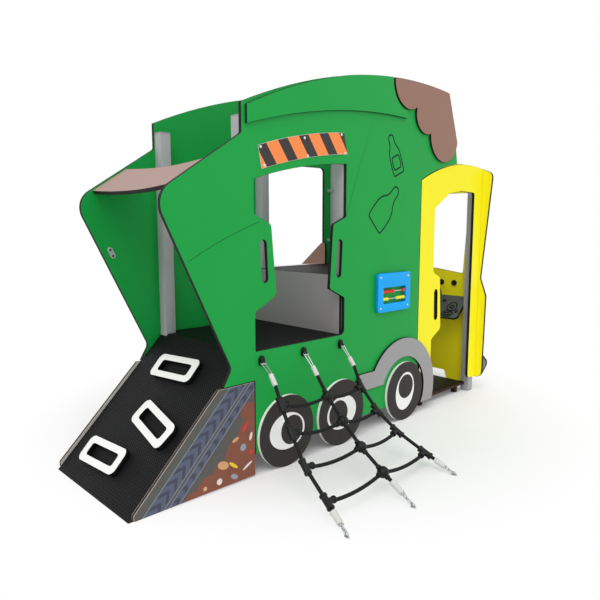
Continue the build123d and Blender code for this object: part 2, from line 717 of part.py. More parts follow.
# ---------------------------------------------------------------- slide
def slide_points():
    """Break points of the slide's surface, as (Y, Z)."""
    top = UPPER_DECK_Z + SLIDE_SHEET
    brow = OUT + 15
    foot = brow + (top - SLIDE_EXIT_Z) / tan(radians(SLIDE_ANGLE))
    return [(IN - 25, top), (brow, top), (foot, SLIDE_EXIT_Z),
            (foot + SLIDE_RUNOUT, SLIDE_EXIT_Z - 12), (foot + SLIDE_RUNOUT + 22, SLIDE_EXIT_Z - 60)]


def strip(points, thickness):
    """Face of a bent sheet whose upper side runs through the points."""
    lower = []
    for i, p in enumerate(points):
        ways = []
        if i > 0:
            ways.append((Vector(*p) - Vector(*points[i - 1])).normalized())
        if i < len(points) - 1:
            ways.append((Vector(*points[i + 1]) - Vector(*p)).normalized())
        normals = [Vector(way.Y, -way.X) for way in ways]
        mean = (normals[0] + normals[-1]).normalized()
        lower.append(Vector(*p) + mean * (thickness / mean.dot(normals[0])))
    outline = [Vector(*p) for p in points] + lower[::-1]
    return make_face([Line(a, b) for a, b in zip(outline, outline[1:] + outline[:1])])


def slide_bed():
    """Bent steel sheet between the cheeks."""
    wide = SLIDE_W - 2 * BOARD
    return crosswise(strip(slide_points(), SLIDE_SHEET), SLIDE_X - wide / 2, wide)


def slide_cheek(x):
    """Brown board beside the slide, with a foot on the floor near the exit."""
    start, brow, foot, end, lip = slide_points()
    deck_top = UPPER_DECK_Z
    inner = IN - SLIDE_INSIDE
    reach = SLIDE_CHEEK / tan(radians(90 - SLIDE_ANGLE / 2)) / 2
    leg = end[0] - 60
    face = rounded([
        (inner, deck_top, 0), (inner, deck_top + SLIDE_CHEEK, 15),
        (brow[0] - reach, deck_top + SLIDE_CHEEK, 25), (foot[0] + 46, foot[1] + 116, 160),
        (lip[0] - 12, end[1] + 110, 60), (lip[0] + 2, lip[1] - 25, 25), (leg, lip[1] - 25, 15),
        (leg, 0, 6), (leg - 110, 0, 6), (leg - 110, lip[1] - 25, 40),
        (foot[0] - 14, foot[1] - 73, 120), (brow[0] - 8, deck_top - SLIDE_SKIRT, 25),
        (OUT + FIT, deck_top - SLIDE_SKIRT, 0), (OUT + FIT, deck_top, 0)])
    return crosswise(face, x, BOARD)


# ---------------------------------------------------------------- climbing net
NET_X = [38, 315, 591]  # eyelets on the near side
NET_STOPS = ["shackle", "sleeve", "sleeve end", "knot 1", "knot 2", "knot 3", "knot 4",
             "low sleeve", "low end", "anchor"]
KNOTS = NET_STOPS[3:7]
NET_ROWS = [  # X, distance out from the side and Z of each stop, for each rope
    [(34, 20, 549), (22, 82, 517), (12, 130, 469), (3, 177, 393), (-14, 260, 289),
     (-36, 369, 174), (-68, 527, 87), (-75, 560, 67), (-86, 620, 33), (-95, 664, 5)],
    [(314, 20, 549), (312, 67, 502), (311, 104, 456), (308, 176, 369), (303, 282, 271),
     (298, 398, 178), (292, 531, 101), (290, 577, 77), (287, 645, 40), (285, 707, 5)],
    [(594, 20, 549), (600, 57, 500), (604, 90, 453), (612, 134, 350), (626, 232, 238),
     (644, 348, 151), (668, 503, 76), (675, 552, 55), (684, 608, 28), (692, 661, 5)],
]


def net_point(row, stop, step=0):
    """A rope's stop, or the one this many stops further down."""
    x, out, z = NET_ROWS[row][NET_STOPS.index(stop) + step]
    return Vector(x, -OUT - out, z)


def without(shapes, blockers):
    """The shapes with the blockers cut out of them, as separate solids."""
    left = []
    for shape in shapes:
        for blocker in blockers:
            shape -= blocker
        left += shape.solids()
    return left


def net_connectors():
    """T-pieces on the outer ropes and crosses on the middle one."""
    found = []
    for knot in KNOTS:
        for row in range(3):
            p = net_point(row, knot)
            along = (net_point(row, knot, 1) - net_point(row, knot, -1)).normalized()
            body = rod(p - along * 24, p + along * 24, CONNECTOR_R)
            for other in (row - 1, row + 1):
                if 0 <= other <= 2:
                    way = (net_point(other, knot) - p).normalized()
                    body += rod(p, p + way * 34, CONNECTOR_R - 2)
            found.append(body)
    return found


def net_ropes():
    """Steel-cored ropes between the fittings, and cross ropes that sag a little."""
    pieces = []
    for row in range(3):
        for stop in ["sleeve end"] + KNOTS:
            pieces.append(rod(net_point(row, stop), net_point(row, stop, 1), ROPE_R))
    for knot in KNOTS:
        for row in range(2):
            a, b = net_point(row, knot), net_point(row + 1, knot)
            middle = (a + b) / 2 - Vector(0, 0, CROSS_SAG)
            arc = ThreePointArc(a, middle, b)
            pieces.append(sweep(Plane(origin=a, z_dir=arc % 0) * Circle(ROPE_R), path=arc))
    return without(pieces, net_connectors() + net_ferrules())


def net_ferrules():
    """Pressed sleeves at the upper and lower ends of the ropes."""
    found = []
    for row in range(3):
        for stop in ("sleeve", "low sleeve"):
            found.append(rod(net_point(row, stop), net_point(row, stop, 1), FERRULE_R))
    return found


def net_shackles():
    """Forks of two bars from the eyelets to the upper sleeves."""
    bars = []
    for row in range(3):
        start, end = net_point(row, "shackle"), net_point(row, "sleeve")
        across = (end - start).cross(Vector(0, 0, 1)).normalized() * FORK_HALF
        bars += [rod(start + step, end + step, FORK_BAR_R) for step in (across, -across)]
    return without(bars, net_ferrules())


def net_anchors():
    """Lower end bars and their small feet on the floor."""
    found = []
    for row in range(3):
        foot = net_point(row, "anchor")
        pad = rod((foot.X, foot.Y, 0), (foot.X, foot.Y, NET_FOOT_T), NET_FOOT_R)
        found.append(rod(net_point(row, "low end"), foot, LOW_BAR_R) + pad)
    return without(found, net_ferrules())


def net_eyelets():
    """Oblong black eyelets on the side, with a lug for each shackle."""
    found = []
    for row, x in enumerate(NET_X):
        face = Pos(x, EYE_Z) * Rot(0, 0, 90) * SlotOverall(EYE_L, EYE_W)
        lug = rod((x, -OUT - EYE_T, EYE_Z), net_point(row, "shackle"), LUG_R)
        eyelet = upright(face, -OUT, EYE_T) + lug
        for bar in net_shackles()[2 * row:2 * row + 2]:
            eyelet -= bar
        found.append(eyelet)
    return found


# ---------------------------------------------------------------- bead frame
BEAD_ROWS = [("red", 69), ("yellow", 26)]  # height over the window's lower edge
BEAD_COUNTS = {"red": (4, 1), "yellow": (2, 3)}  # at the rear and at the front


def bead_y():
    return -OUT - PLATE_T / 2


def bead_frame():
    """Thick plate with a window for the beads."""
    outside = [(PLATE_REAR_X, PLATE_FOOT_Z, 20), (PLATE_FRONT_X, PLATE_FOOT_Z, 20),
               (PLATE_FRONT_X, PLATE_TOP_Z, 20), (PLATE_REAR_X, PLATE_TOP_Z, 20)]
    inside = [(BEAD_LEFT, BEAD_FLOOR_Z, 6), (BEAD_RIGHT, BEAD_FLOOR_Z, 6),
              (BEAD_RIGHT, BEAD_HEAD_Z, 6), (BEAD_LEFT, BEAD_HEAD_Z, 6)]
    return upright(rounded(outside) - rounded(inside), -OUT, PLATE_T)


def bead_rods():
    return [rod((BEAD_LEFT, bead_y(), BEAD_FLOOR_Z + rise), (BEAD_RIGHT, bead_y(),
                 BEAD_FLOOR_Z + rise), BEAD_ROD_R) for name, rise in BEAD_ROWS]


def beads(rise, count, from_left):
    """A string of touching beads, as one piece, at one end of its rod."""
    length = count * BEAD_L
    z = BEAD_FLOOR_Z + rise
    x = BEAD_LEFT + BEAD_GAP if from_left else BEAD_RIGHT - BEAD_GAP - length
    way = Plane(origin=(x, bead_y(), z), z_dir=(1, 0, 0))
    string = None
    for i in range(count):
        bead = way.offset(i * BEAD_L) * Cylinder(
            BEAD_R, BEAD_L, align=(Align.CENTER, Align.CENTER, Align.MIN))
        bead = chamfer(bead.edges().filter_by(GeomType.CIRCLE), 4)
        string = bead if string is None else string + bead
    return string - rod((x - 1, bead_y(), z), (x + length + 1, bead_y(), z),
                        BEAD_ROD_R + BEAD_BORE_GAP)


# ---------------------------------------------------------------- all pieces by name
def pieces():
    found = {
        "lower_deck": lower_deck(), "upper_deck": upper_deck(), "cab_floor": cab_floor(),
        "riser": riser(), "cab_back": cab_back(), "deck_brackets": deck_brackets(),
        "panel_brackets": panel_brackets() + joint_plates(), "post_caps": post_caps(), "ramp": ramp(),
        "hood": hood(), "front_board": front_board(),
        "ramp_grips": [ramp_grip(*place) for place in GRIPS],
        "bumper": bumper(), "grille": grille(), "console": console(),
        "console_brackets": console_brackets(), "steering_wheel": steering_wheel(),
        "dash_knobs": dash_knobs(), "slide_bed": slide_bed(),
        "headlamps": [headlamp(side) for side in SIDES],
        "slide_cheeks": [slide_cheek(SLIDE_X - SLIDE_W / 2),
                         slide_cheek(SLIDE_X + SLIDE_W / 2 - BOARD)],
        "net_eyelets": net_eyelets(), "net_shackles": net_shackles(),
        "net_ferrules": net_ferrules(), "net_connectors": net_connectors(),
        "net_ropes": net_ropes(), "net_anchors": net_anchors(),
        "bead_frame": bead_frame(), "bead_rods": bead_rods(),
    }
    for side in SIDES:
        found["green_side_" + side] = green_side(side)
        found["cab_side_" + side] = cab_side(side)
        found["top_band_" + side] = top_band(side)
        found["load_panel_" + side] = load_panel(side)
        found["hazard_plate_" + side] = hazard_plate(side)
        found["ramp_cheek_" + side] = ramp_cheek(side)
        found["fender_" + side] = fender(side)
        found["wheels_" + side] = [wheel(x, shift, side) for x, shift in WHEELS]
    for name, x, top in POSTS:
        found["posts_" + name] = [post(x, top, side) for side in SIDES]
    for name, rise in BEAD_ROWS:
        rear, front = BEAD_COUNTS[name]
        found["beads_%s_rear" % name] = beads(rise, rear, True)
        found["beads_%s_front" % name] = beads(rise, front, False)
    return {name: made if isinstance(made, list) else [made] for name, made in found.items()}


def middle_shift(found):
    """Move that brings the middle of the whole outline, on the floor, to the origin."""
    boxes = [solid.bounding_box() for made in found.values() for solid in made]
    x = (min(box.min.X for box in boxes) + max(box.max.X for box in boxes)) / 2
    y = (min(box.min.Y for box in boxes) + max(box.max.Y for box in boxes)) / 2
    return Pos(-x, -y, 0)


PIECES = pieces()
SHIFT = middle_shift(PIECES)
os.makedirs("parts", exist_ok=True)
for node, made in PIECES.items():
    placed = [SHIFT * solid for solid in made]
    whole = placed[0] if len(placed) == 1 else Compound(children=placed)
    export_step(whole, "parts/" + node + ".step")
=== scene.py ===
"""Looks of a playground play truck: finishes on its boards, posts and decks, the net's laid
ropes and fittings, carved lines, screws, floor, lamps and camera. Metres, +Z up, cab at +X.
"""
import json
import math

import bmesh
import bpy
import numpy as np
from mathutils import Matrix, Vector

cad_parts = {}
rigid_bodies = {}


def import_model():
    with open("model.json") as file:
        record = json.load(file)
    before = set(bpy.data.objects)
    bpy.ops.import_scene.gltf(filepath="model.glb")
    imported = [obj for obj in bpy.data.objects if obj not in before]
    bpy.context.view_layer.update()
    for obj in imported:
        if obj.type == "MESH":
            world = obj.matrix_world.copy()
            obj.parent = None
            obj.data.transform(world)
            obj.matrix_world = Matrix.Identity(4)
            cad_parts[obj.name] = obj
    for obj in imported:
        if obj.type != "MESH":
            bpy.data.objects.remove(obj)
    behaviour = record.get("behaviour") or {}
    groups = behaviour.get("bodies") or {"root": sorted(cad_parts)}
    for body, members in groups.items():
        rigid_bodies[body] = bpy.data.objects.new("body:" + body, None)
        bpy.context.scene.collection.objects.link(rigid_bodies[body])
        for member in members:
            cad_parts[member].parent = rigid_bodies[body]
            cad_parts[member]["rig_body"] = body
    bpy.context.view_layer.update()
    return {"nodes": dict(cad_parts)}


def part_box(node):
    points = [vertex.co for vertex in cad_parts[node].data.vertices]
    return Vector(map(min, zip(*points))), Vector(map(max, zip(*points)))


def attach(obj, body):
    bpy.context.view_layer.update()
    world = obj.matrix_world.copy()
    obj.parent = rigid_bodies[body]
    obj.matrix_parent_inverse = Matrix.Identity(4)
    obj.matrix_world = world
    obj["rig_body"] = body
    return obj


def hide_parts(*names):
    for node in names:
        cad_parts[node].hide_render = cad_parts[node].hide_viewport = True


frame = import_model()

TRUCK = "truck"

# ---------------------------------------------------------------- places read from the frame
SIDEWAYS, LENGTHWAYS, UPWARDS = (0, 1, 0), (1, 0, 0), (0, 0, 1)
near_low, near_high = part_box("green_side_near")
far_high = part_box("green_side_far")[1]
MID_Y = (near_low.y + far_high.y) / 2
REAR_FACE_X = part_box("posts_rear")[1].x         # front face of the rear posts
OUT = far_high.y - MID_Y                        # outer face of a side from the middle plane
OUT_MM = OUT * 1000
NEAR_Y = -OUT_MM                                # outer face of the near side
BOARD_MM = (near_high.y - near_low.y) * 1000    # thickness of a side
ORIGIN = np.array([REAR_FACE_X, MID_Y, 0.0])


def at(x, y, z):
    """A place in metres from the rear posts' front face, the middle plane and the floor."""
    return Vector((REAR_FACE_X + x, MID_Y + y, z))


def box_mm(node):
    """Low and high corner of a node's box, in millimetres from the same three planes."""
    return [(np.array(corner) - ORIGIN) * 1000 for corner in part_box(node)]


def placed(name, data):
    """An object in the scene for a mesh, a lamp or a camera."""
    obj = bpy.data.objects.new(name, data)
    bpy.context.scene.collection.objects.link(obj)
    return obj


# ---------------------------------------------------------------- shader maths
class Wire:
    """A node's output socket; arithmetic on it adds Math nodes."""

    def __init__(self, shading, socket):
        self.shading = shading
        self.socket = socket

    def math(self, operation, *terms):
        return self.shading.node("Math", {"operation": operation}, dict(enumerate(terms)))

    def __add__(self, other):
        return self.math("ADD", self, other)

    def __sub__(self, other):
        return self.math("SUBTRACT", self, other)

    def __rsub__(self, other):
        return self.math("SUBTRACT", other, self)

    def __mul__(self, other):
        return self.math("MULTIPLY", self, other)

    def __truediv__(self, other):
        return self.math("DIVIDE", self, other)

    def __gt__(self, other):
        return self.math("GREATER_THAN", self, other)

    def __lt__(self, other):
        return self.math("LESS_THAN", self, other)

    def __abs__(self):
        return self.math("ABSOLUTE", self)

    __radd__ = __add__
    __rmul__ = __mul__

    def both(self, other):
        return self.math("MINIMUM", self, other)

    def either(self, other):
        return self.math("MAXIMUM", self, other)

    def part(self):
        """Fraction over the whole number below."""
        return self.math("FRACT", self)

    def root(self):
        return self.math("SQRT", self)

    def sine(self):
        return self.math("SINE", self)


FACE_SHARE = 0.9                 # a surface at least this square to a direction is a face


def opaque(colour):
    """A colour of three numbers with its alpha; anything else as it is."""
    return (*colour, 1.0) if isinstance(colour, tuple) else colour


class Shading:
    """A tree of shader nodes in the making."""

    def __init__(self, tree):
        self.tree = tree

    def node(self, kind, settings=None, inputs=None, output=0):
        """One node: its settings first, then values or links of its sockets."""
        made = self.tree.nodes.new("ShaderNode" + kind)
        for key, value in (settings or {}).items():
            setattr(made, key, value)
        for key, value in (inputs or {}).items():
            self.link(value, made.inputs[key])
        return Wire(self, made.outputs[output])

    def link(self, value, socket):
        """A value or a wire into a socket."""
        if isinstance(value, Wire):
            self.tree.links.new(value.socket, socket)
        else:
            socket.default_value = value


class Finish(Shading):
    """A material in the making, with one Principled shader."""

    def __init__(self, name, roughness=0.5, metallic=0.0, **fixed):
        self.material = bpy.data.materials.new(name)
        self.material.use_nodes = True
        super().__init__(self.material.node_tree)
        self.shader = self.tree.nodes["Principled BSDF"]
        self.put("Roughness", roughness)
        self.put("Metallic", metallic)
        for socket, value in fixed.items():
            self.put(socket.replace("_", " "), value)

    def put(self, socket, value):
        """A value or a wire into one of the shader's sockets; colours take three numbers."""
        self.link(opaque(value), self.shader.inputs[socket])

    def place(self):
        return self.node("TexCoord", output="Object")

    def on_face(self, way):
        """1 where the surface is square to a direction, as a board's faces are, else 0."""
        normal = self.node("TexCoord", output="Normal")
        return abs(self.node("VectorMath", {"operation": "DOT_PRODUCT"},
                             {0: normal, 1: tuple(way)}, "Value")) > FACE_SHARE

    def along(self, way):
        """Distance along a direction."""
        return self.node("VectorMath", {"operation": "DOT_PRODUCT"},
                         {0: self.place(), 1: tuple(way)}, "Value")

    def truck_x(self):
        """Millimetres forwards from the rear posts' front face."""
        return (self.along(LENGTHWAYS) - REAR_FACE_X) * 1000.0

    def truck_z(self):
        """Millimetres over the floor."""
        return self.along(UPWARDS) * 1000.0

    def noise(self, scale, detail=2.0, rough=0.5, at_place=None):
        return self.node("TexNoise", {}, {"Vector": at_place or self.place(), "Scale": scale,
                                          "Detail": detail, "Roughness": rough})

    def mix(self, share, first, second):
        """Colour between two colours."""
        return self.node("Mix", {"data_type": "RGBA"},
                         {0: share, 6: opaque(first), 7: opaque(second)}, 2)

    def shade(self, colour, amount, scale, detail=3.0):
        """Colour that drifts a little lighter and darker over the surface."""
        drift = self.noise(scale, detail) * (2 * amount) + (1 - amount)
        grey = self.node("CombineColor", {}, {0: drift, 1: drift, 2: drift})
        return self.node("Mix", {"data_type": "RGBA", "blend_type": "MULTIPLY"},
                         {0: 1.0, 6: opaque(colour), 7: grey}, 2)

    def bump(self, height, depth, strength=1.0):
        self.put("Normal", self.node("Bump", {}, {"Height": height, "Distance": depth,
                                                  "Strength": strength}))


def tone(red, green, blue):
    """Linear colour from screen values of 0 to 255."""
    screen = np.array([red, green, blue]) / 255
    linear = np.where(screen < 0.04045, screen / 12.92, ((screen + 0.055) / 1.055) ** 2.4)
    return tuple(float(value) for value in linear)


# ---------------------------------------------------------------- finishes
CORE = tone(24, 23, 22)
DULL = 0.22                      # specular level of the matt laminates
EDGE_ROUGHNESS = 0.62
BOARD_GRAIN = 900.0              # scale of the fine grain on the boards


def laminate(name, face, way, core=CORE, roughness=0.42, grain=0.00006):
    """Solid laminate board: coloured faces square to `way`, dark core on its milled edges."""
    finish = Finish(name, Specular_IOR_Level=DULL)
    on_face = finish.on_face(way)
    colour = finish.shade(face, 0.03, 1.7)
    edge = finish.shade(core, 0.2, 60.0)
    finish.put("Base Color", finish.mix(on_face, edge, colour))
    finish.put("Roughness", EDGE_ROUGHNESS - on_face * (EDGE_ROUGHNESS - roughness)
               + finish.noise(9.0) * 0.06)
    finish.bump(finish.noise(BOARD_GRAIN), grain)
    return finish.material


GREEN = tone(14, 160, 66)
YELLOW = tone(255, 244, 30)
BROWN = tone(150, 114, 98)
GREY = tone(160, 158, 160)


def powder_coat(name, colour, roughness=0.5):
    """Fine matt powder coat over metal."""
    finish = Finish(name, roughness)
    finish.put("Base Color", finish.shade(colour, 0.04, 3.0))
    finish.bump(finish.noise(1500.0, 2.0), 0.00008)
    return finish.material


def moulded(name, colour, roughness=0.45, gloss=0.4):
    """Moulded plastic with a fine skin."""
    finish = Finish(name, Specular_IOR_Level=gloss)
    finish.put("Base Color", finish.shade(colour, 0.08, 14.0))
    finish.put("Roughness", finish.noise(120.0) * 0.12 + (roughness - 0.06))
    finish.bump(finish.noise(700.0), 0.00006)
    return finish.material


BRUSH_SCALE = (40.0, 900.0, 900.0)    # lines run lengthways


def brushed(name, colour, roughness=0.32):
    """Brushed steel with fine lines."""
    finish = Finish(name, roughness, 0.9)
    stretched = finish.node("Mapping", {}, {"Vector": finish.place(), "Scale": BRUSH_SCALE})
    lines = finish.noise(1.0, 2.0, at_place=stretched)
    finish.put("Base Color", finish.shade(colour, 0.06, 8.0))
    finish.put("Roughness", lines * 0.2 + (roughness - 0.1))
    finish.bump(lines, 0.00003)
    return finish.material


HEXAGON_PITCH = 0.0125
RELIEF_DEPTH = 0.0012
PLY_SCALE = 900.0                # of the plywood's layers, in radians to the metre


def antislip(name, ways, base, top):
    """Black film-faced deck board: a fine hexagon relief on its faces, plywood on its edges."""
    finish = Finish(name, Specular_IOR_Level=0.12)
    upward, first, second = ways
    on_face = finish.on_face(upward)
    rows = [finish.along(way) * (2 * math.pi / HEXAGON_PITCH)
            for way in hexagon_ways(first, second)]
    waves = [finish.node("Math", {"operation": "COSINE"}, {0: row}) for row in rows]
    relief = (waves[0] + waves[1] + waves[2]) / 3 + 0.5
    worn = finish.shade(tone(base, base, base + 2), 0.12, 5.0)
    raised = finish.mix(relief * 0.55, worn, tone(top, top + 1, top + 3))
    layers = (finish.along(upward) * PLY_SCALE).sine() * 0.5 + 0.5
    edge = finish.mix(layers, tone(40, 26, 19), tone(66, 44, 32))
    finish.put("Base Color", finish.mix(on_face, edge, raised))
    finish.put("Roughness", 0.6 - relief * 0.12)
    finish.bump(relief * on_face, RELIEF_DEPTH)
    return finish.material


def hexagon_ways(first, second):
    """Three directions at 60 degrees in the plane of two."""
    a, b = Vector(first), Vector(second)
    return [tuple(a * math.cos(turn) + b * math.sin(turn))
            for turn in (0, math.pi / 3, 2 * math.pi / 3)]


STRIPE_SLANT = 0.72              # millimetres forwards for each one down
STRIPE_FROM = 1286.0
STRIPE_PITCH = 158.0
STRIPE_DARK = 0.456              # share of the pitch that is dark


def striped(name):
    """Orange plate with slanting dark stripes; its edges and eased rim are painted pale
    grey-green, a painted highlight on the rim.
    """
    finish = Finish(name, 0.42, Specular_IOR_Level=DULL)
    on_face = finish.on_face(SIDEWAYS)
    slant = (finish.truck_x() + finish.truck_z() * STRIPE_SLANT - STRIPE_FROM) / STRIPE_PITCH
    dark = slant.part() < STRIPE_DARK
    stripes = finish.mix(dark, finish.shade(tone(255, 145, 78), 0.03, 6.0),
                         finish.shade(tone(58, 54, 52), 0.06, 8.0))
    # painted highlight: the edges and the eased rim take a pale grey-green in place of lit edges
    finish.put("Base Color", finish.mix(on_face, tone(196, 208, 196), stripes))
    finish.bump(finish.noise(BOARD_GRAIN), 0.00005)
    return finish.material


WHEEL_T = 0.019                  # thickness of a wheel disc
OUTER_SKIN, INNER_SKIN = 0.0012, 0.0016
WHEEL_BACK = 0.01                # a face deeper than this is the disc's back


def wheel_finish(name):
    """Three-layer board: dark grained skins over a pale core that the milled ring bares."""
    finish = Finish(name, 0.55, Specular_IOR_Level=DULL)
    depth = OUT + WHEEL_T - abs(finish.along(SIDEWAYS) - MID_Y)
    on_face = finish.on_face(SIDEWAYS)
    skins = (depth < OUTER_SKIN).either(depth > WHEEL_T - INNER_SKIN)
    dark = skins.either(on_face * (depth > WHEEL_BACK))
    grain = finish.noise(260.0, 3.0)
    black = finish.mix(grain, tone(38, 35, 34), tone(60, 56, 54))
    pale = finish.shade(tone(250, 250, 248), 0.03, 12.0)
    finish.put("Base Color", finish.mix(dark, pale, black))
    finish.bump(grain, 0.0002)
    return finish.material


def grip_finish(name, way):
    """Pale-faced board with black sides."""
    finish = Finish(name, 0.5, Specular_IOR_Level=DULL)
    on_face = finish.on_face(way)
    finish.put("Base Color", finish.mix(on_face, tone(10, 10, 11),
                                        finish.shade(tone(250, 250, 248), 0.015, 9.0)))
    finish.bump(finish.noise(500.0), 0.0001)
    return finish.material


def rope_finish(name):
    """Black twisted yarn over steel cores."""
    finish = Finish(name, 0.85, Specular_IOR_Level=DULL)
    yarn = finish.noise(700.0, 3.0)
    finish.put("Base Color", finish.mix(yarn, tone(16, 16, 17), tone(40, 40, 42)))
    finish.bump(yarn, 0.0004)
    return finish.material


ramp_low, ramp_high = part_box("ramp")
RAMP_RISE = math.atan2(ramp_high.z - ramp_low.z, ramp_high.x - ramp_low.x)
UP_RAMP = (math.cos(RAMP_RISE), 0, math.sin(RAMP_RISE))
OFF_RAMP = (-math.sin(RAMP_RISE), 0, math.cos(RAMP_RISE))
INTO_CONSOLE = (0.7071, 0, -0.7071)

MOUNDS = [  # x, z and radius of the round brown heaps on the ramp cheeks
    (-10, 20, 190), (-165, 20, 112), (-262, 10, 78), (-10, 215, 96), (-104, 150, 72),
    (-356, 4, 38), (-40, 330, 46),
]
SCRAPS = [  # x, z, half width, half height, turn in degrees, colour
    (-62, 262, 27, 8, 50, (214, 62, 70)), (-76, 166, 17, 17, 20, (150, 165, 178)),
    (-134, 96, 30, 8, -38, (244, 208, 60)), (-214, 42, 15, 15, 45, (236, 228, 216)),
    (-52, 70, 32, 6, 28, (232, 230, 226)), (-192, 112, 32, 19, -24, (216, 166, 112)),
    (-292, 34, 10, 10, 0, (222, 178, 130)), (-30, 208, 8, 20, -16, (236, 228, 216)),
    (-130, 40, 11, 22, 62, (150, 165, 178)), (-120, 214, 20, 9, 20, (216, 166, 112)),
    (-28, 130, 12, 12, 0, (214, 62, 70)),
]
CHEEK_SKIN = 2.6                 # pale skins of the printed board
PRINT_DEPTH = 3.0                # a face this near to the outside is the printed one
BELTS = [(66.0, 36.0), (136.0, 20.0)]    # conveyor: middle under the ramp's face, half width
BELT_RIM = 2.0
CHEVRON_PITCH, CHEVRON_SLANT, CHEVRON_SHARE, CHEVRON_INSET = 58.0, 1.3, 0.42, 7.0


def cheek_finish(name):
    """Board printed on its outer face: pale inner face, and on its milled edges a dark brown
    core between two thin pale skins."""
    finish = Finish(name, 0.45, Specular_IOR_Level=DULL)
    out = abs(finish.along(SIDEWAYS) - MID_Y) * 1000.0
    on_face = finish.on_face(SIDEWAYS)
    outer = on_face * (out > OUT_MM - PRINT_DEPTH)
    pale = finish.shade(tone(210, 208, 204), 0.03, 6.0)
    skins = (out > OUT_MM - CHEEK_SKIN).either(out < OUT_MM - BOARD_MM + CHEEK_SKIN)
    edge = finish.mix(skins, finish.shade(tone(58, 42, 34), 0.15, 60.0), tone(176, 172, 166))
    bare = finish.mix(on_face, edge, pale)
    picture = cheek_picture(finish, finish.shade(tone(84, 83, 80), 0.04, 5.0))
    finish.put("Base Color", finish.mix(outer, bare, picture))
    finish.bump(finish.noise(BOARD_GRAIN), 0.00006)
    return finish.material


def cheek_picture(finish, ground):
    """Print of the ramp cheeks: two slanting conveyor stripes with chevrons over brown mounds
    with small plain scraps."""
    x, z = finish.truck_x(), finish.truck_z()
    rise, run = math.sin(RAMP_RISE), math.cos(RAMP_RISE)
    along = x * run + z * rise
    foot = (ramp_low.x - REAR_FACE_X) * 1000
    under = (x - foot) * rise - z * run
    ground = finish.mix(finish.noise(14.0, 3.0) * 0.5, ground, tone(112, 112, 110))
    for middle, half in BELTS:
        off = abs(under - middle)
        belt = finish.shade(tone(92, 98, 120), 0.04, 9.0)
        chevron = ((along + off * CHEVRON_SLANT) / CHEVRON_PITCH).part() < CHEVRON_SHARE
        belt = finish.mix(chevron * (off < half - CHEVRON_INSET), belt, tone(72, 76, 90))
        belt = finish.mix(off > half - BELT_RIM, belt, tone(164, 170, 186))
        ground = finish.mix(off < half, ground, belt)
    inside = None
    for mx, mz, radius in MOUNDS:
        near = ((x - mx) * (x - mx) + (z - mz) * (z - mz)).root() - radius
        inside = near if inside is None else inside.both(near)
    brown = finish.shade(tone(138, 84, 66), 0.1, 16.0)
    ground = finish.mix(inside < 0.0, ground, brown)
    for sx, sz, wide, high, turn, colour in SCRAPS:
        c, s = math.cos(math.radians(turn)), math.sin(math.radians(turn))
        u = abs((x - sx) * c + (z - sz) * s) / wide
        v = abs((z - sz) * c - (x - sx) * s) / high
        ground = finish.mix(u * u + v * v < 1.0, ground, tone(*colour))
    return ground


green_board = laminate("green_laminate", GREEN, SIDEWAYS)
yellow_board = laminate("yellow_laminate", YELLOW, SIDEWAYS)
brown_board = laminate("brown_laminate", BROWN, SIDEWAYS)
grey_board = laminate("grey_laminate", GREY, SIDEWAYS)
FINISHES = {
    "green_side": green_board,
    "top_band": green_board,
    "cab_side": yellow_board,
    "front_board": laminate("yellow_front_laminate", YELLOW, LENGTHWAYS),
    "load_panel": brown_board,
    "slide_cheeks": laminate("brown_cheek_laminate", BROWN, LENGTHWAYS),
    "hood": laminate("brown_sheet", tone(174, 145, 136), OFF_RAMP, roughness=0.5),
    "hazard_plate": striped("striped_plate"),
    "ramp_cheek": cheek_finish("printed_cheek"),
    "fender": grey_board,
    "bumper": laminate("bumper_laminate", GREY, LENGTHWAYS),
    "grille": laminate("grille_laminate", GREY, LENGTHWAYS),
    "console": laminate("console_laminate", tone(82, 90, 88), INTO_CONSOLE, tone(12, 12, 12)),
    "riser": laminate("riser_laminate", tone(158, 154, 155), LENGTHWAYS),
    "cab_back": laminate("cab_back_laminate", tone(146, 146, 144), LENGTHWAYS),
    "wheels": wheel_finish("wheel_board"),
    "lower_deck": antislip("deck_relief", (UPWARDS, LENGTHWAYS, SIDEWAYS), 8, 14),
    "upper_deck": antislip("upper_deck_relief", (UPWARDS, LENGTHWAYS, SIDEWAYS), 8, 14),
    "cab_floor": antislip("cab_floor_relief", (UPWARDS, LENGTHWAYS, SIDEWAYS), 10, 20),
    "ramp": antislip("ramp_relief", (OFF_RAMP, UP_RAMP, SIDEWAYS), 12, 26),
    "ramp_grips": grip_finish("grip_board", OFF_RAMP),
    "posts": powder_coat("post_coat", tone(168, 170, 172)),
    "post_caps": moulded("cap_plastic", tone(150, 152, 154)),
    "net_eyelets": moulded("black_moulding", tone(18, 18, 19), gloss=0.25),
    "net_connectors": moulded("connector_moulding", tone(16, 16, 17), gloss=0.25),
    "dash_knobs": moulded("knob_moulding", tone(18, 18, 19), gloss=0.25),
    "console_brackets": powder_coat("gusset_coat", tone(60, 60, 62)),
    "steering_wheel": moulded("steering_moulding", tone(24, 24, 26), gloss=0.3),
    "net_ropes": rope_finish("rope_yarn"),
    "net_ferrules": powder_coat("sleeve_aluminium", tone(214, 214, 210), 0.4),
    "net_shackles": brushed("shackle_steel", tone(200, 202, 205)),
    "net_anchors": brushed("anchor_steel", tone(182, 184, 186), 0.45),
    "slide_bed": brushed("slide_steel", tone(205, 207, 210), 0.3),
    "deck_brackets": brushed("bracket_steel", tone(190, 192, 195)),
    "panel_brackets": brushed("clip_steel", tone(200, 202, 205)),
    "bead_rods": brushed("rod_steel", tone(210, 210, 212)),
    "headlamps": laminate("lamp_board", tone(240, 240, 225), LENGTHWAYS),
    "bead_frame": laminate("blue_board", tone(6, 170, 250), SIDEWAYS, tone(10, 146, 222)),
    "beads_red": moulded("red_beads", tone(225, 45, 35), 0.25),
    "beads_yellow": moulded("yellow_beads", tone(245, 235, 40), 0.25),
}


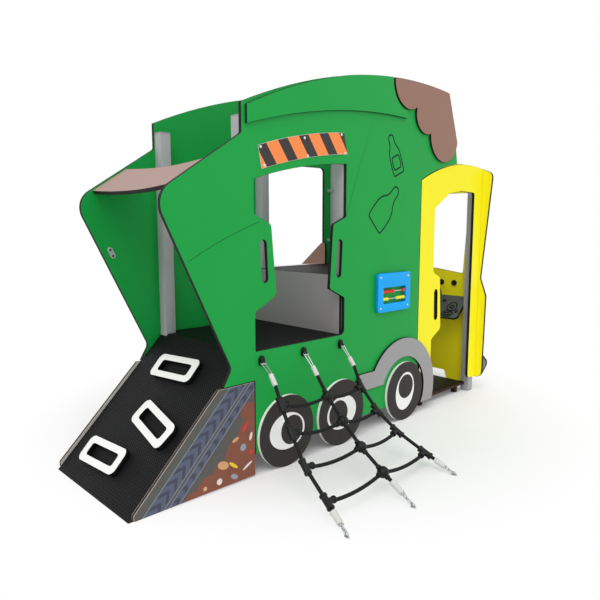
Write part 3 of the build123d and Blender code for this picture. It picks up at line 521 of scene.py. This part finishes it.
def finish_of(node):
    """The finish whose name starts this node's name, longest first."""
    fitting = [key for key in FINISHES if node.startswith(key)]
    return FINISHES[max(fitting, key=len)]


def dress(obj, material):
    """One material on the whole mesh."""
    obj.data.materials.clear()
    obj.data.materials.append(material)
    return obj


for node, obj in frame["nodes"].items():
    dress(obj, finish_of(node))
screw_steel = brushed("screw_steel", tone(225, 225, 226), 0.35)
dark_screw = brushed("dark_screw_steel", tone(60, 60, 62), 0.45)


# ---------------------------------------------------------------- meshes
def skin(grid, ring=False):
    """Points and faces of a grid (steps along, points round), closed round each step. The ends
    are flat caps, or the last step joins the first in a ring. The faces are index arrays with a
    row for each face."""
    steps, around = grid.shape[:2]
    index = np.arange(steps * around).reshape(steps, around)
    here, there = (index, np.roll(index, -1, 0)) if ring else (index[:-1], index[1:])
    quads = np.stack([here, np.roll(here, -1, 1), np.roll(there, -1, 1), there], -1)
    caps = [] if ring else [index[:1, ::-1], index[-1:]]
    return grid.reshape(-1, 3), [quads.reshape(-1, 4)] + caps


def mesh_of(name, skins):
    """One mesh of several skins given in the truck's millimetres."""
    points, faces, count = [], [], 0
    for places, sides in skins:
        points.append(places)
        for side in sides:
            faces += (side + count).tolist()
        count += len(places)
    mesh = bpy.data.meshes.new(name)
    mesh.from_pydata((np.concatenate(points) / 1000 + ORIGIN).tolist(), [], faces)
    shape = bmesh.new()
    shape.from_mesh(mesh)
    bmesh.ops.recalc_face_normals(shape, faces=shape.faces)
    shape.to_mesh(mesh)
    shape.free()
    return mesh


SHARP_ANGLE = math.radians(32)   # edges over this stay sharp in the shading
EASE_ANGLE = math.radians(35)    # edges over this are eased
FLAT_ANGLE = math.radians(0.5)   # faces within this are one face
SAME_PLACE = 0.00001


def shown(name, mesh, material, body, stands_for=()):
    """A piece in the scene, riding on a body, in the truck's place."""
    mesh.shade_smooth()
    mesh.set_sharp_from_angle(angle=SHARP_ANGLE)
    obj = placed(name, mesh)
    dress(obj, material)
    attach(obj, body)
    if stands_for:
        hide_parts(*stands_for)
    return obj


def piece_for(node, skins):
    """New surfaces that stand for a node, in its finish."""
    return shown(node + "_detail", mesh_of(node + "_detail", skins), finish_of(node),
                 frame["nodes"][node]["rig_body"], (node,))


def eased_copy(node, width, segments=1, cutters=()):
    """The node's own solid with its sharp edges eased, and grooves cut where cutters are given.
    Its stored normals go first, because they would shade the new edges wrongly."""
    mesh = frame["nodes"][node].data.copy()
    if "custom_normal" in mesh.attributes:
        mesh.attributes.remove(mesh.attributes["custom_normal"])
    shape = bmesh.new()
    shape.from_mesh(mesh)
    bmesh.ops.remove_doubles(shape, verts=shape.verts, dist=SAME_PLACE)
    bmesh.ops.dissolve_limit(shape, angle_limit=FLAT_ANGLE, verts=shape.verts, edges=shape.edges)
    shape.to_mesh(mesh)
    shape.free()
    work = placed(node + "_work", mesh)
    bevel = work.modifiers.new("ease", "BEVEL")
    bevel.width = width / 1000
    bevel.segments = segments
    bevel.angle_limit = EASE_ANGLE
    bevel.use_clamp_overlap = False
    spares = [work]
    for i, groove_skin in enumerate(cutters):
        cutter = placed("cutter", mesh_of("cutter", [groove_skin]))
        spares.append(cutter)
        cut = work.modifiers.new("cut_%d" % i, "BOOLEAN")
        cut.operation, cut.solver, cut.object = "DIFFERENCE", "EXACT", cutter
    bpy.context.view_layer.update()
    made = bpy.data.meshes.new_from_object(
        work.evaluated_get(bpy.context.evaluated_depsgraph_get()))
    for spare in spares:
        bpy.data.objects.remove(spare)
    made.name = node + "_board"
    return shown(node + "_board", made, finish_of(node),
                 frame["nodes"][node]["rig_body"], (node,))


def unit(way):
    return np.asarray(way, float) / np.linalg.norm(way)


def across(way):
    """Two directions square to one and to each other."""
    way = unit(way)
    side = unit(np.cross(way, (0.05, 0.1, 1.0) if abs(way[2]) < 0.9 else (1.0, 0.1, 0.0)))
    return side, np.cross(side, way)


def square_to(along, up):
    """Two unit directions at each point of a path, square to it and to each other. The first is
    square to `up` as well."""
    side = np.cross(along, up)
    side /= np.linalg.norm(side, axis=1, keepdims=True)
    rise = np.cross(side, along)
    return side, rise / np.linalg.norm(rise, axis=1, keepdims=True)


def turned(start, way, profile, around=28):
    """A turned piece: a ring of radius r at distance s from the start, for each (s, r)."""
    side, rise = across(way)
    turn = np.linspace(0, 2 * np.pi, around, endpoint=False)[:, None]
    ring = np.cos(turn) * side + np.sin(turn) * rise
    s, r = np.array(profile, float).T[:, :, None, None]
    return skin(np.asarray(start, float) + s * unit(way) + r * ring)


def tube(path, radius, up, ring=False, around=12):
    """A bent wire: a circle carried along the path, square to it."""
    if ring:
        along = np.roll(path, -1, 0) - np.roll(path, 1, 0)
    else:
        along = np.gradient(path, axis=0)
    side, rise = square_to(along, up)
    turn = np.linspace(0, 2 * np.pi, around, endpoint=False)[None, :, None]
    return skin(path[:, None] + radius * (np.cos(turn) * side[:, None]
                                          + np.sin(turn) * rise[:, None]), ring)


# ---------------------------------------------------------------- carved lines
GROOVE_HALF = 4.2                # half width and depth of the carved lines
LID_GROOVE = 1.0                 # and of the fine line over the ramp
CONSOLE_GROOVE = 4.6             # and of the lines in the console


def groove(line, y, half=GROOVE_HALF, ring=True):
    """Cutter for a V groove in a face square to Y: a diamond carried along an (x, z) line, its
    corners mitred."""
    line = np.asarray(line, float)
    before = line - np.roll(line, 1, 0)
    after = np.roll(line, -1, 0) - line
    if not ring:
        before[0], after[-1] = after[0], before[-1]
    before /= np.linalg.norm(before, axis=1, keepdims=True)
    after /= np.linalg.norm(after, axis=1, keepdims=True)
    mean = before + after
    mean /= np.linalg.norm(mean, axis=1, keepdims=True)
    normal = np.stack([-mean[:, 1], mean[:, 0]], 1)
    reach = half / np.clip((mean * before).sum(1, keepdims=True), 0.5, 1)
    middle = np.insert(line, 1, y, axis=1)
    sideways = np.insert(normal * reach, 1, 0.0, axis=1)
    deep = np.array([0.0, half, 0.0])
    grid = np.stack([middle + sideways, middle + deep, middle - sideways, middle - deep], 1)
    return skin(grid, ring)


def rounder(line, times=3):
    """A closed line with its corners cut again and again, at a quarter and three quarters of
    each run."""
    line = np.asarray(line, float)
    for _ in range(times):
        following = np.roll(line, -1, 0)
        line = np.stack([0.75 * line + 0.25 * following, 0.25 * line + 0.75 * following],
                        1).reshape(-1, 2)
    return line


def bottle(foot, head, outline):
    """Closed outline of a bottle that leans from foot to head: half widths w at shares t of its
    length, mirrored about its axis."""
    foot, head = np.array(foot, float), np.array(head, float)
    axis = head - foot
    normal = np.array([-axis[1], axis[0]]) / np.linalg.norm(axis)
    t, w = np.array(outline, float).T
    right = foot + t[:, None] * axis + w[:, None] * normal
    left = foot + t[:, None] * axis - w[:, None] * normal
    return rounder(np.concatenate([right, left[::-1]]))


TALL_BOTTLE = [(0, 30), (0, 52), (0.58, 52), (0.74, 22), (1.0, 24)]
WIDE_BOTTLE = [(0, 50), (0, 76), (0.5, 78), (0.7, 27), (1.0, 29)]
LABEL = [(0.14, 16), (0.14, 36), (0.46, 36), (0.46, 16)]
BOTTLES = [((1092, 1488), (1000, 1696), TALL_BOTTLE), ((1092, 1488), (1000, 1696), LABEL),
           ((868, 1196), (1082, 1404), WIDE_BOTTLE)]
LID_LINE = [(-352, 1041), (-276, 1080), (-166, 1133), (-78, 1167), (-21, 1189), (34, 1207)]


def lid_grooves(y):
    """A long shallow curve over the ramp: a cubic near six places."""
    x, z = np.array(LID_LINE, float).T
    along = np.linspace(x[0], x[-1], 24)
    return groove(np.stack([along, np.polyval(np.polyfit(x, z, 3), along)], 1), y, LID_GROOVE,
                  ring=False)


bottles = [groove(bottle(*row), NEAR_Y) for row in BOTTLES]
eased_copy("green_side_near", 1.2, cutters=bottles + [lid_grooves(NEAR_Y)])
eased_copy("green_side_far", 1.2, cutters=[lid_grooves(-NEAR_Y)])

# ---------------------------------------------------------------- console
console_high = box_mm("console")[1]
CONSOLE_TOP = np.array([console_high[0], 0, console_high[2]])
DOWN_CONSOLE = unit((-1, 0, -1))


def on_console(line):
    """Cutter for a V groove in the console's face, from places across it and down its slope."""
    points, faces = groove(line, 0.0, CONSOLE_GROOVE)
    away, into, down = points.T[:, :, None]
    return (CONSOLE_TOP + away * np.array(SIDEWAYS) + into * unit(INTO_CONSOLE)
            + down * DOWN_CONSOLE, faces)


def box_line(across_at, down_at, wide, high):
    """Closed line round a box with its corners cut round."""
    x0, x1 = across_at - wide / 2, across_at + wide / 2
    z0, z1 = down_at - high / 2, down_at + high / 2
    return rounder([(x0, z0), (x1, z0), (x1, z1), (x0, z1)])


def ring_line(across_at, down_at, radius):
    turn = np.linspace(0, 2 * np.pi, 40, endpoint=False)
    return np.stack([across_at + radius * np.cos(turn), down_at + radius * np.sin(turn)], 1)


# across, down, and the box's width and height or the ring's radius
CONSOLE_BOXES = [(side * 204, 170, wide, high) for side in (-1, 1)
                 for wide, high in ((84, 48), (50, 20))]
CONSOLE_RINGS = [(side * 218, 104, radius) for side in (-1, 1) for radius in (38, 15)]
eased_copy("console", 1.2, cutters=[on_console(box_line(*row)) for row in CONSOLE_BOXES]
           + [on_console(ring_line(*row)) for row in CONSOLE_RINGS])
CONSOLE_DOTS = [(-132, 55), (132, 55), (-268, 140), (268, 140)]

# ---------------------------------------------------------------- eased boards and metal
EASED = {  # edge width in millimetres, by the start of a node's name
    "cab_side": 1.2, "front_board": 1.2, "top_band": 1.2, "load_panel": 1.2, "hazard_plate": 1.9,
    "ramp_cheek": 1.2, "fender": 1.2, "bumper": 1.4, "grille": 1.2, "riser": 1.0,
    "cab_back": 1.0, "wheels": 1.3, "lower_deck": 1.0, "upper_deck": 1.0, "cab_floor": 1.0,
    "ramp": 1.0, "hood": 1.4, "bead_frame": 1.6, "slide_cheeks": 1.2, "headlamps": 1.2,
    "ramp_grips": 2.4, "posts": 2.2, "post_caps": 1.6, "dash_knobs": 2.0,
    "console_brackets": 0.8, "deck_brackets": 0.8, "panel_brackets": 0.7, "slide_bed": 0.5,
    "steering_wheel": 1.4,
}
ROUND = {"posts": 2, "post_caps": 2, "ramp_grips": 3, "dash_knobs": 3,
         "bead_frame": 2, "steering_wheel": 2}
for node in sorted(frame["nodes"]):
    start = max((key for key in EASED if node.startswith(key)), key=len, default=None)
    if start:
        eased_copy(node, EASED[start], ROUND.get(start, 1))

# ---------------------------------------------------------------- climbing net
NET_STOPS = ["shackle", "sleeve", "sleeve end", "knot 1", "knot 2", "knot 3", "knot 4",
             "low sleeve", "low end", "anchor"]
KNOTS = NET_STOPS[3:7]
NET_ROWS = [  # X, distance out from the side and Z of each stop, for each rope
    [(34, 20, 549), (22, 82, 517), (12, 130, 469), (3, 177, 393), (-14, 260, 289),
     (-36, 369, 174), (-68, 527, 87), (-75, 560, 67), (-86, 620, 33), (-95, 664, 5)],
    [(314, 20, 549), (312, 67, 502), (311, 104, 456), (308, 176, 369), (303, 282, 271),
     (298, 398, 178), (292, 531, 101), (290, 577, 77), (287, 645, 40), (285, 707, 5)],
    [(594, 20, 549), (600, 57, 500), (604, 90, 453), (612, 134, 350), (626, 232, 238),
     (644, 348, 151), (668, 503, 76), (675, 552, 55), (684, 608, 28), (692, 661, 5)],
]
CROSS_SAG = 22.0
ROPE_R = 8.8                     # over the crowns of the strands
LAY = 66.0                       # length in which a strand goes once round
LOBES = 6
FORK_WIRE_R = 2.7
FORK_WIDE, FORK_NARROW = 10, 6   # each wire from the middle, at the pin and at the sleeve
LINK_LOW = 8.5                   # least height of a link's middle
THREAD_Z = 9.0                   # height of the threaded ends


def net_point(row, stop, step=0):
    """A rope's stop, or the one this many stops further down."""
    x, out, z = NET_ROWS[row][NET_STOPS.index(stop) + step]
    return np.array([x, NEAR_Y - out, z], float)


def laid_rope(path):
    """Rope of six strands: the radius swells with |cos 3(turn - 2 pi s / lay)| at distance s."""
    s = np.concatenate([[0], np.cumsum(np.linalg.norm(np.diff(path, axis=0), axis=1))])
    turn = np.linspace(0, 2 * np.pi, 5 * LOBES, endpoint=False)[None]
    swell = np.abs(np.cos(LOBES / 2 * (turn - 2 * np.pi * s[:, None] / LAY)))
    side, rise = square_to(np.gradient(path, axis=0), (0.3, 0.2, 1.0))
    ring = np.cos(turn)[..., None] * side[:, None] + np.sin(turn)[..., None] * rise[:, None]
    return skin(path[:, None] + (ROPE_R * (0.8 + 0.2 * swell))[..., None] * ring)


def run(start, end, sag=0.0, step=3.0):
    """Points from start to end, hanging by 4 sag t (1 - t) between them."""
    t = np.linspace(0, 1, max(3, int(np.linalg.norm(end - start) / step)))[:, None]
    return start + (end - start) * t - np.array([0, 0, 4 * sag]) * t * (1 - t)


def ropes():
    lines = [run(net_point(row, stop), net_point(row, stop, 1))
             for row in range(3) for stop in ["sleeve end"] + KNOTS]
    lines += [run(net_point(row, knot), net_point(row + 1, knot), CROSS_SAG)
              for row in range(2) for knot in KNOTS]
    return [laid_rope(line) for line in lines]


BARREL = [(-36, 9), (-36, 15.5), (-34, 17.5), (-26, 17.5), (-24, 15), (24, 15), (26, 17.5),
          (34, 17.5), (36, 15.5), (36, 9)]
ARM = [(0, 13.5), (34, 13.5), (35.5, 16), (44, 16), (46, 14.5), (46, 9)]
NECK = [(0, 12.5), (34, 12.5), (36, 11), (36, 8.5)]
BALL = [(27 * math.sin(a), 27 * math.cos(a)) for a in np.radians(np.linspace(-84, 84, 15))]


def connectors():
    """T-pieces with collars on the outer ropes, balls with four necks on the middle one."""
    made = []
    for knot in KNOTS:
        for row in range(3):
            p = net_point(row, knot)
            along = unit(net_point(row, knot, 1) - net_point(row, knot, -1))
            ways = [net_point(other, knot) - np.array([0, 0, 2 * CROSS_SAG]) - p
                    for other in (row - 1, row + 1) if 0 <= other <= 2]
            if row == 1:
                made.append(turned(p, along, BALL))
                ways += [along, -along]
                made += [turned(p, way, NECK) for way in ways]
            else:
                made.append(turned(p, along, BARREL))
                made += [turned(p, way, ARM) for way in ways]
    return made


def sleeves():
    """Pressed sleeves: plain upper ones, lower ones with a collar at the rope's end."""
    made = []
    for row in range(3):
        top, low = net_point(row, "sleeve"), net_point(row, "low sleeve")
        way = net_point(row, "sleeve", 1) - top
        long = np.linalg.norm(way)
        made.append(turned(top, way, [(6, 6), (6, 10), (8.5, 12), (long - 3, 12), (long, 9.5),
                                      (long, 7)]))
        way = net_point(row, "low sleeve", 1) - low
        long = np.linalg.norm(way)
        made.append(turned(low, way, [(6, 7), (6, 13.5), (8, 15.5), (15, 15.5), (17, 14),
                                      (long - 8, 14), (long - 5, 11.5), (long - 5, 6)]))
    return made


def forks():
    """Two wires from a pin at the eyelet, closing towards the sleeve."""
    made = []
    for row in range(3):
        start, end = net_point(row, "shackle"), net_point(row, "sleeve")
        way = unit(end - start)
        apart = unit(np.cross(way, (0, 0, 1)))
        for sign in (-1, 1):
            foot = start + sign * FORK_WIDE * apart - 8 * way
            wire = end + sign * FORK_NARROW * apart + 14 * way - foot
            made.append(turned(foot, wire, [(0, FORK_WIRE_R),
                                            (np.linalg.norm(wire), FORK_WIRE_R)], 16))
        made.append(turned(start - 14 * apart, apart,
                           [(0, 3), (0.8, 4.2), (27.2, 4.2), (28, 3)], 18))
    return made


def link(middle, along, normal, long=28.0, wide=18.0, wire=3.1):
    """Chain link: a wire along the superellipse |u|^4 + |v|^2.5 = 1, with u along the link and
    v across it, as shares of half its length and half its width."""
    turn = np.linspace(0, 2 * np.pi, 28, endpoint=False)
    c, s = np.cos(turn), np.sin(turn)
    along = unit(along)
    side = unit(np.cross(normal, along))
    u = np.sign(c) * np.sqrt(np.abs(c)) * (long / 2 - wire)
    v = np.sign(s) * np.abs(s) ** 0.8 * (wide / 2 - wire)
    return tube(middle + u[:, None] * along + v[:, None] * side, wire,
                np.cross(along, side), True, 10)


def anchors():
    """Crosswise pin, three chain links, a threaded end and a pointed tongue on the floor at
    each rope's foot."""
    made = []
    for row in range(3):
        end, foot = net_point(row, "low end"), net_point(row, "anchor")
        way = unit(foot - end)
        side = unit(np.cross(way, (0, 0, 1)))
        other = np.cross(side, way)
        made.append(turned(end - 10 * way, way, [(0, 5), (14, 5)], 18))
        made.append(turned(end - 13 * side, side, [(0, 3), (1, 4), (25, 4), (26, 3)], 18))
        room = np.linalg.norm(foot - end)
        for i, normal in enumerate((side, other, side)):
            middle = end + way * (13 + i * (room - 22) / 2)
            middle[2] = max(middle[2], LINK_LOW)
            made.append(link(middle, way, normal))
        thread = np.array([foot[0], foot[1], THREAD_Z])
        made.append(turned(thread - 12 * way, way, [(0, 4), (2, 6), (9, 6), (11, 4)], 18))
        made.append(tongue(foot, way))
    return made


def tongue(foot, way):
    """Flat teardrop on the floor: half width 9 sin(turn) sqrt(sin(turn / 2)) at 14 cos(turn)."""
    flat = unit((way[0], way[1], 0))
    side = np.array([-flat[1], flat[0], 0])
    turn = np.linspace(0, 2 * np.pi, 32, endpoint=False)[None, :, None]
    share = np.array([0.9, 1.0, 1.0, 0.86])[:, None, None]
    height = np.array([0.0, 1.0, 4.0, 5.0])[:, None, None] * np.array([0, 0, 1.0])
    plan = (14 * np.cos(turn) * flat + 9 * np.sin(turn) * np.abs(np.sin(turn / 2)) ** 0.5 * side)
    ground = np.array([foot[0], foot[1], 0]) - 6 * flat
    return skin(ground + share * plan + height)


for node, surfaces in (("net_ropes", ropes()), ("net_connectors", connectors()),
                       ("net_ferrules", sleeves()), ("net_shackles", forks()),
                       ("net_anchors", anchors())):
    piece_for(node, surfaces)

# ---------------------------------------------------------------- beads, knobs and screws
BEAD_L, BEAD_R = 28.0, 10.5
BEAD_BORE_R = 3.1
BEAD = [(BEAD_L * (0.5 + 0.46 * math.sin(a)),
         BEAD_BORE_R + (BEAD_R - BEAD_BORE_R) * math.cos(a) ** 0.5)
        for a in np.radians(np.linspace(-89.9, 89.9, 15))]
for node in sorted(frame["nodes"]):
    if node.startswith("beads_"):
        low, high = box_mm(node)
        middle = (low + high) / 2
        count = round((high[0] - low[0]) / BEAD_L)
        piece_for(node, [turned((low[0] + i * BEAD_L, middle[1], middle[2]), LENGTHWAYS, BEAD)
                         for i in range(count)])


def screw_head(place, way, r=7.0, rise=2.4):
    """Round button head with a small round socket: a quarter ellipse from its rim to the
    socket's edge, then a ring back down for the socket's floor."""
    swell = [(rise * math.sin(a), 0.55 * r + 0.45 * r * math.cos(a))
             for a in np.radians(np.linspace(0, 90, 6))]
    return turned(place, way, [(-1.0, r)] + swell + [(rise, 0.36 * r), (0.5, 0.34 * r)], 24)


PLATE_SCREWS = [(42, 1542), (320, 1609), (586, 1653), (65, 1461), (342, 1526), (616, 1562)]
PLATE_T = 4.0                    # of the striped plates, and of the oblong plates inside
shown("plate_screws", mesh_of("plate_screws", [
    screw_head((x, sign * (OUT_MM + PLATE_T), z), (0, sign, 0))
    for x, z in PLATE_SCREWS for sign in (-1, 1)]), screw_steel, TRUCK)

shown("console_buttons", mesh_of("console_buttons", [
    turned(CONSOLE_TOP + away * np.array(SIDEWAYS) + down * DOWN_CONSOLE,
           -unit(INTO_CONSOLE), [(-1, 14), (2.5, 14), (4.2, 12), (5, 9)], 24)
    for away, down in CONSOLE_DOTS]), finish_of("dash_knobs"), TRUCK)

frame_low, frame_high = box_mm("bead_frame")
shown("frame_screws", mesh_of("frame_screws", [
    screw_head((x, frame_low[1], z), (0, -1, 0), 6.0)
    for x in (frame_low[0] + 26, frame_high[0] - 24)
    for z in (frame_low[2] + 24, frame_high[2] - 24)]), screw_steel, TRUCK)

JOINT_PLATE = (-326, 1053)       # middle of the oblong plates, and their long direction
PLATE_WAY = unit((-0.42, 0.91))
shown("joint_screws", mesh_of("joint_screws", [
    screw_head((JOINT_PLATE[0] + step * PLATE_WAY[0], sign * (OUT_MM - BOARD_MM - PLATE_T),
                JOINT_PLATE[1] + step * PLATE_WAY[1]), (0, -sign, 0), 6.0, 1.8)
    for step in (-17, 17) for sign in (-1, 1)]), dark_screw, TRUCK)

# ---------------------------------------------------------------- floor, light and camera
FLOOR_R, FLOOR_SIDES = 14.0, 96
FADE_MIDDLE = (0.3, 0.0, 0.0)    # the floor turns white between two distances from here
FADE_FROM, FADE_TO = 1.0, 1.9
FLOOR_GLOW = 0.10                # how white the near floor is made for the camera
SKY_LEVEL = 0.62                 # light of the surround; the camera sees it at 1
LAMPS = [  # name, azimuth it shines from, height angle, strength, softness; angles in degrees
    ("key_lamp", 215, 55, 1.15, 40),
    ("fill_lamp", 300, 35, 0.35, 60),
]
SENSOR, LENS, NEAR_CLIP = 36.0, 33.939, 0.05
CAMERA_PLACE = (-1.645, -2.376, 1.187)
CAMERA_DOWN, CAMERA_TURN = 7.416, -44.131    # degrees under level, and about the vertical


def floor():
    """Pale round floor that takes the shadow and fades into white."""
    angle = np.linspace(0, 2 * np.pi, FLOOR_SIDES, endpoint=False)
    rim = np.stack([FLOOR_R * np.cos(angle), FLOOR_R * np.sin(angle), 0 * angle], 1)
    mesh = bpy.data.meshes.new("floor")
    mesh.from_pydata(rim.tolist(), [], [list(range(FLOOR_SIDES))])
    obj = placed("floor", mesh)
    finish = Finish("pale_floor", 0.9)
    finish.put("Base Color", finish.shade(tone(252, 252, 252), 0.004, 0.6))
    away = finish.node("VectorMath", {"operation": "DISTANCE"},
                       {0: finish.place(), 1: FADE_MIDDLE}, "Value")
    fade = finish.node("MapRange", {"interpolation_type": "SMOOTHSTEP"},
                       {0: away, 1: FADE_FROM, 2: FADE_TO, 3: FLOOR_GLOW, 4: 1.0})
    seen = finish.node("LightPath", output="Is Camera Ray")
    glow = finish.node("Emission", {}, {"Color": (1.0, 1.0, 1.0, 1.0), "Strength": 1.0})
    surface = Wire(finish, finish.shader.outputs[0])
    mixed = finish.node("MixShader", {}, {0: fade * seen, 1: surface, 2: glow})
    finish.link(mixed, finish.tree.nodes["Material Output"].inputs["Surface"])
    dress(obj, finish.material)


def surround():
    """Plain surround: white to the camera and in metal and glass, dimmer as a light."""
    world = bpy.data.worlds.new("surround")
    bpy.context.scene.world = world
    world.use_nodes = True
    sky = Shading(world.node_tree)
    seen = sky.node("LightPath", output="Is Camera Ray")
    for ray in ("Is Glossy Ray", "Is Transmission Ray"):
        seen = seen.either(sky.node("LightPath", output=ray))
    level = sky.node("MapRange", {}, {"Value": seen, "To Min": SKY_LEVEL, "To Max": 1.0})
    background = sky.tree.nodes["Background"]
    sky.link(level, background.inputs["Strength"])
    sky.link((1.0, 1.0, 1.0, 1.0), background.inputs["Color"])


def lamps():
    """Soft suns, so that the light is even over the whole floor."""
    for name, azimuth, height, strength, softness in LAMPS:
        data = bpy.data.lights.new(name, "SUN")
        data.energy = strength
        data.angle = math.radians(softness)
        lamp = placed(name, data)
        turn, rise = math.radians(azimuth), math.radians(height)
        source = Vector((math.cos(turn) * math.cos(rise), math.sin(turn) * math.cos(rise),
                         math.sin(rise)))
        lamp.rotation_euler = source.to_track_quat("Z", "Y").to_euler()


def camera():
    """A view of the near side and the rear, looking a little down."""
    data = bpy.data.cameras.new("view")
    data.sensor_width = SENSOR
    data.lens = LENS
    data.clip_start = NEAR_CLIP
    eye = placed("view", data)
    eye.location = at(*CAMERA_PLACE)
    eye.rotation_euler = (math.radians(90 - CAMERA_DOWN), 0, math.radians(CAMERA_TURN))
    bpy.context.scene.camera = eye


floor()
surround()
lamps()
camera()
bpy.context.scene.view_settings.view_transform = "Standard"
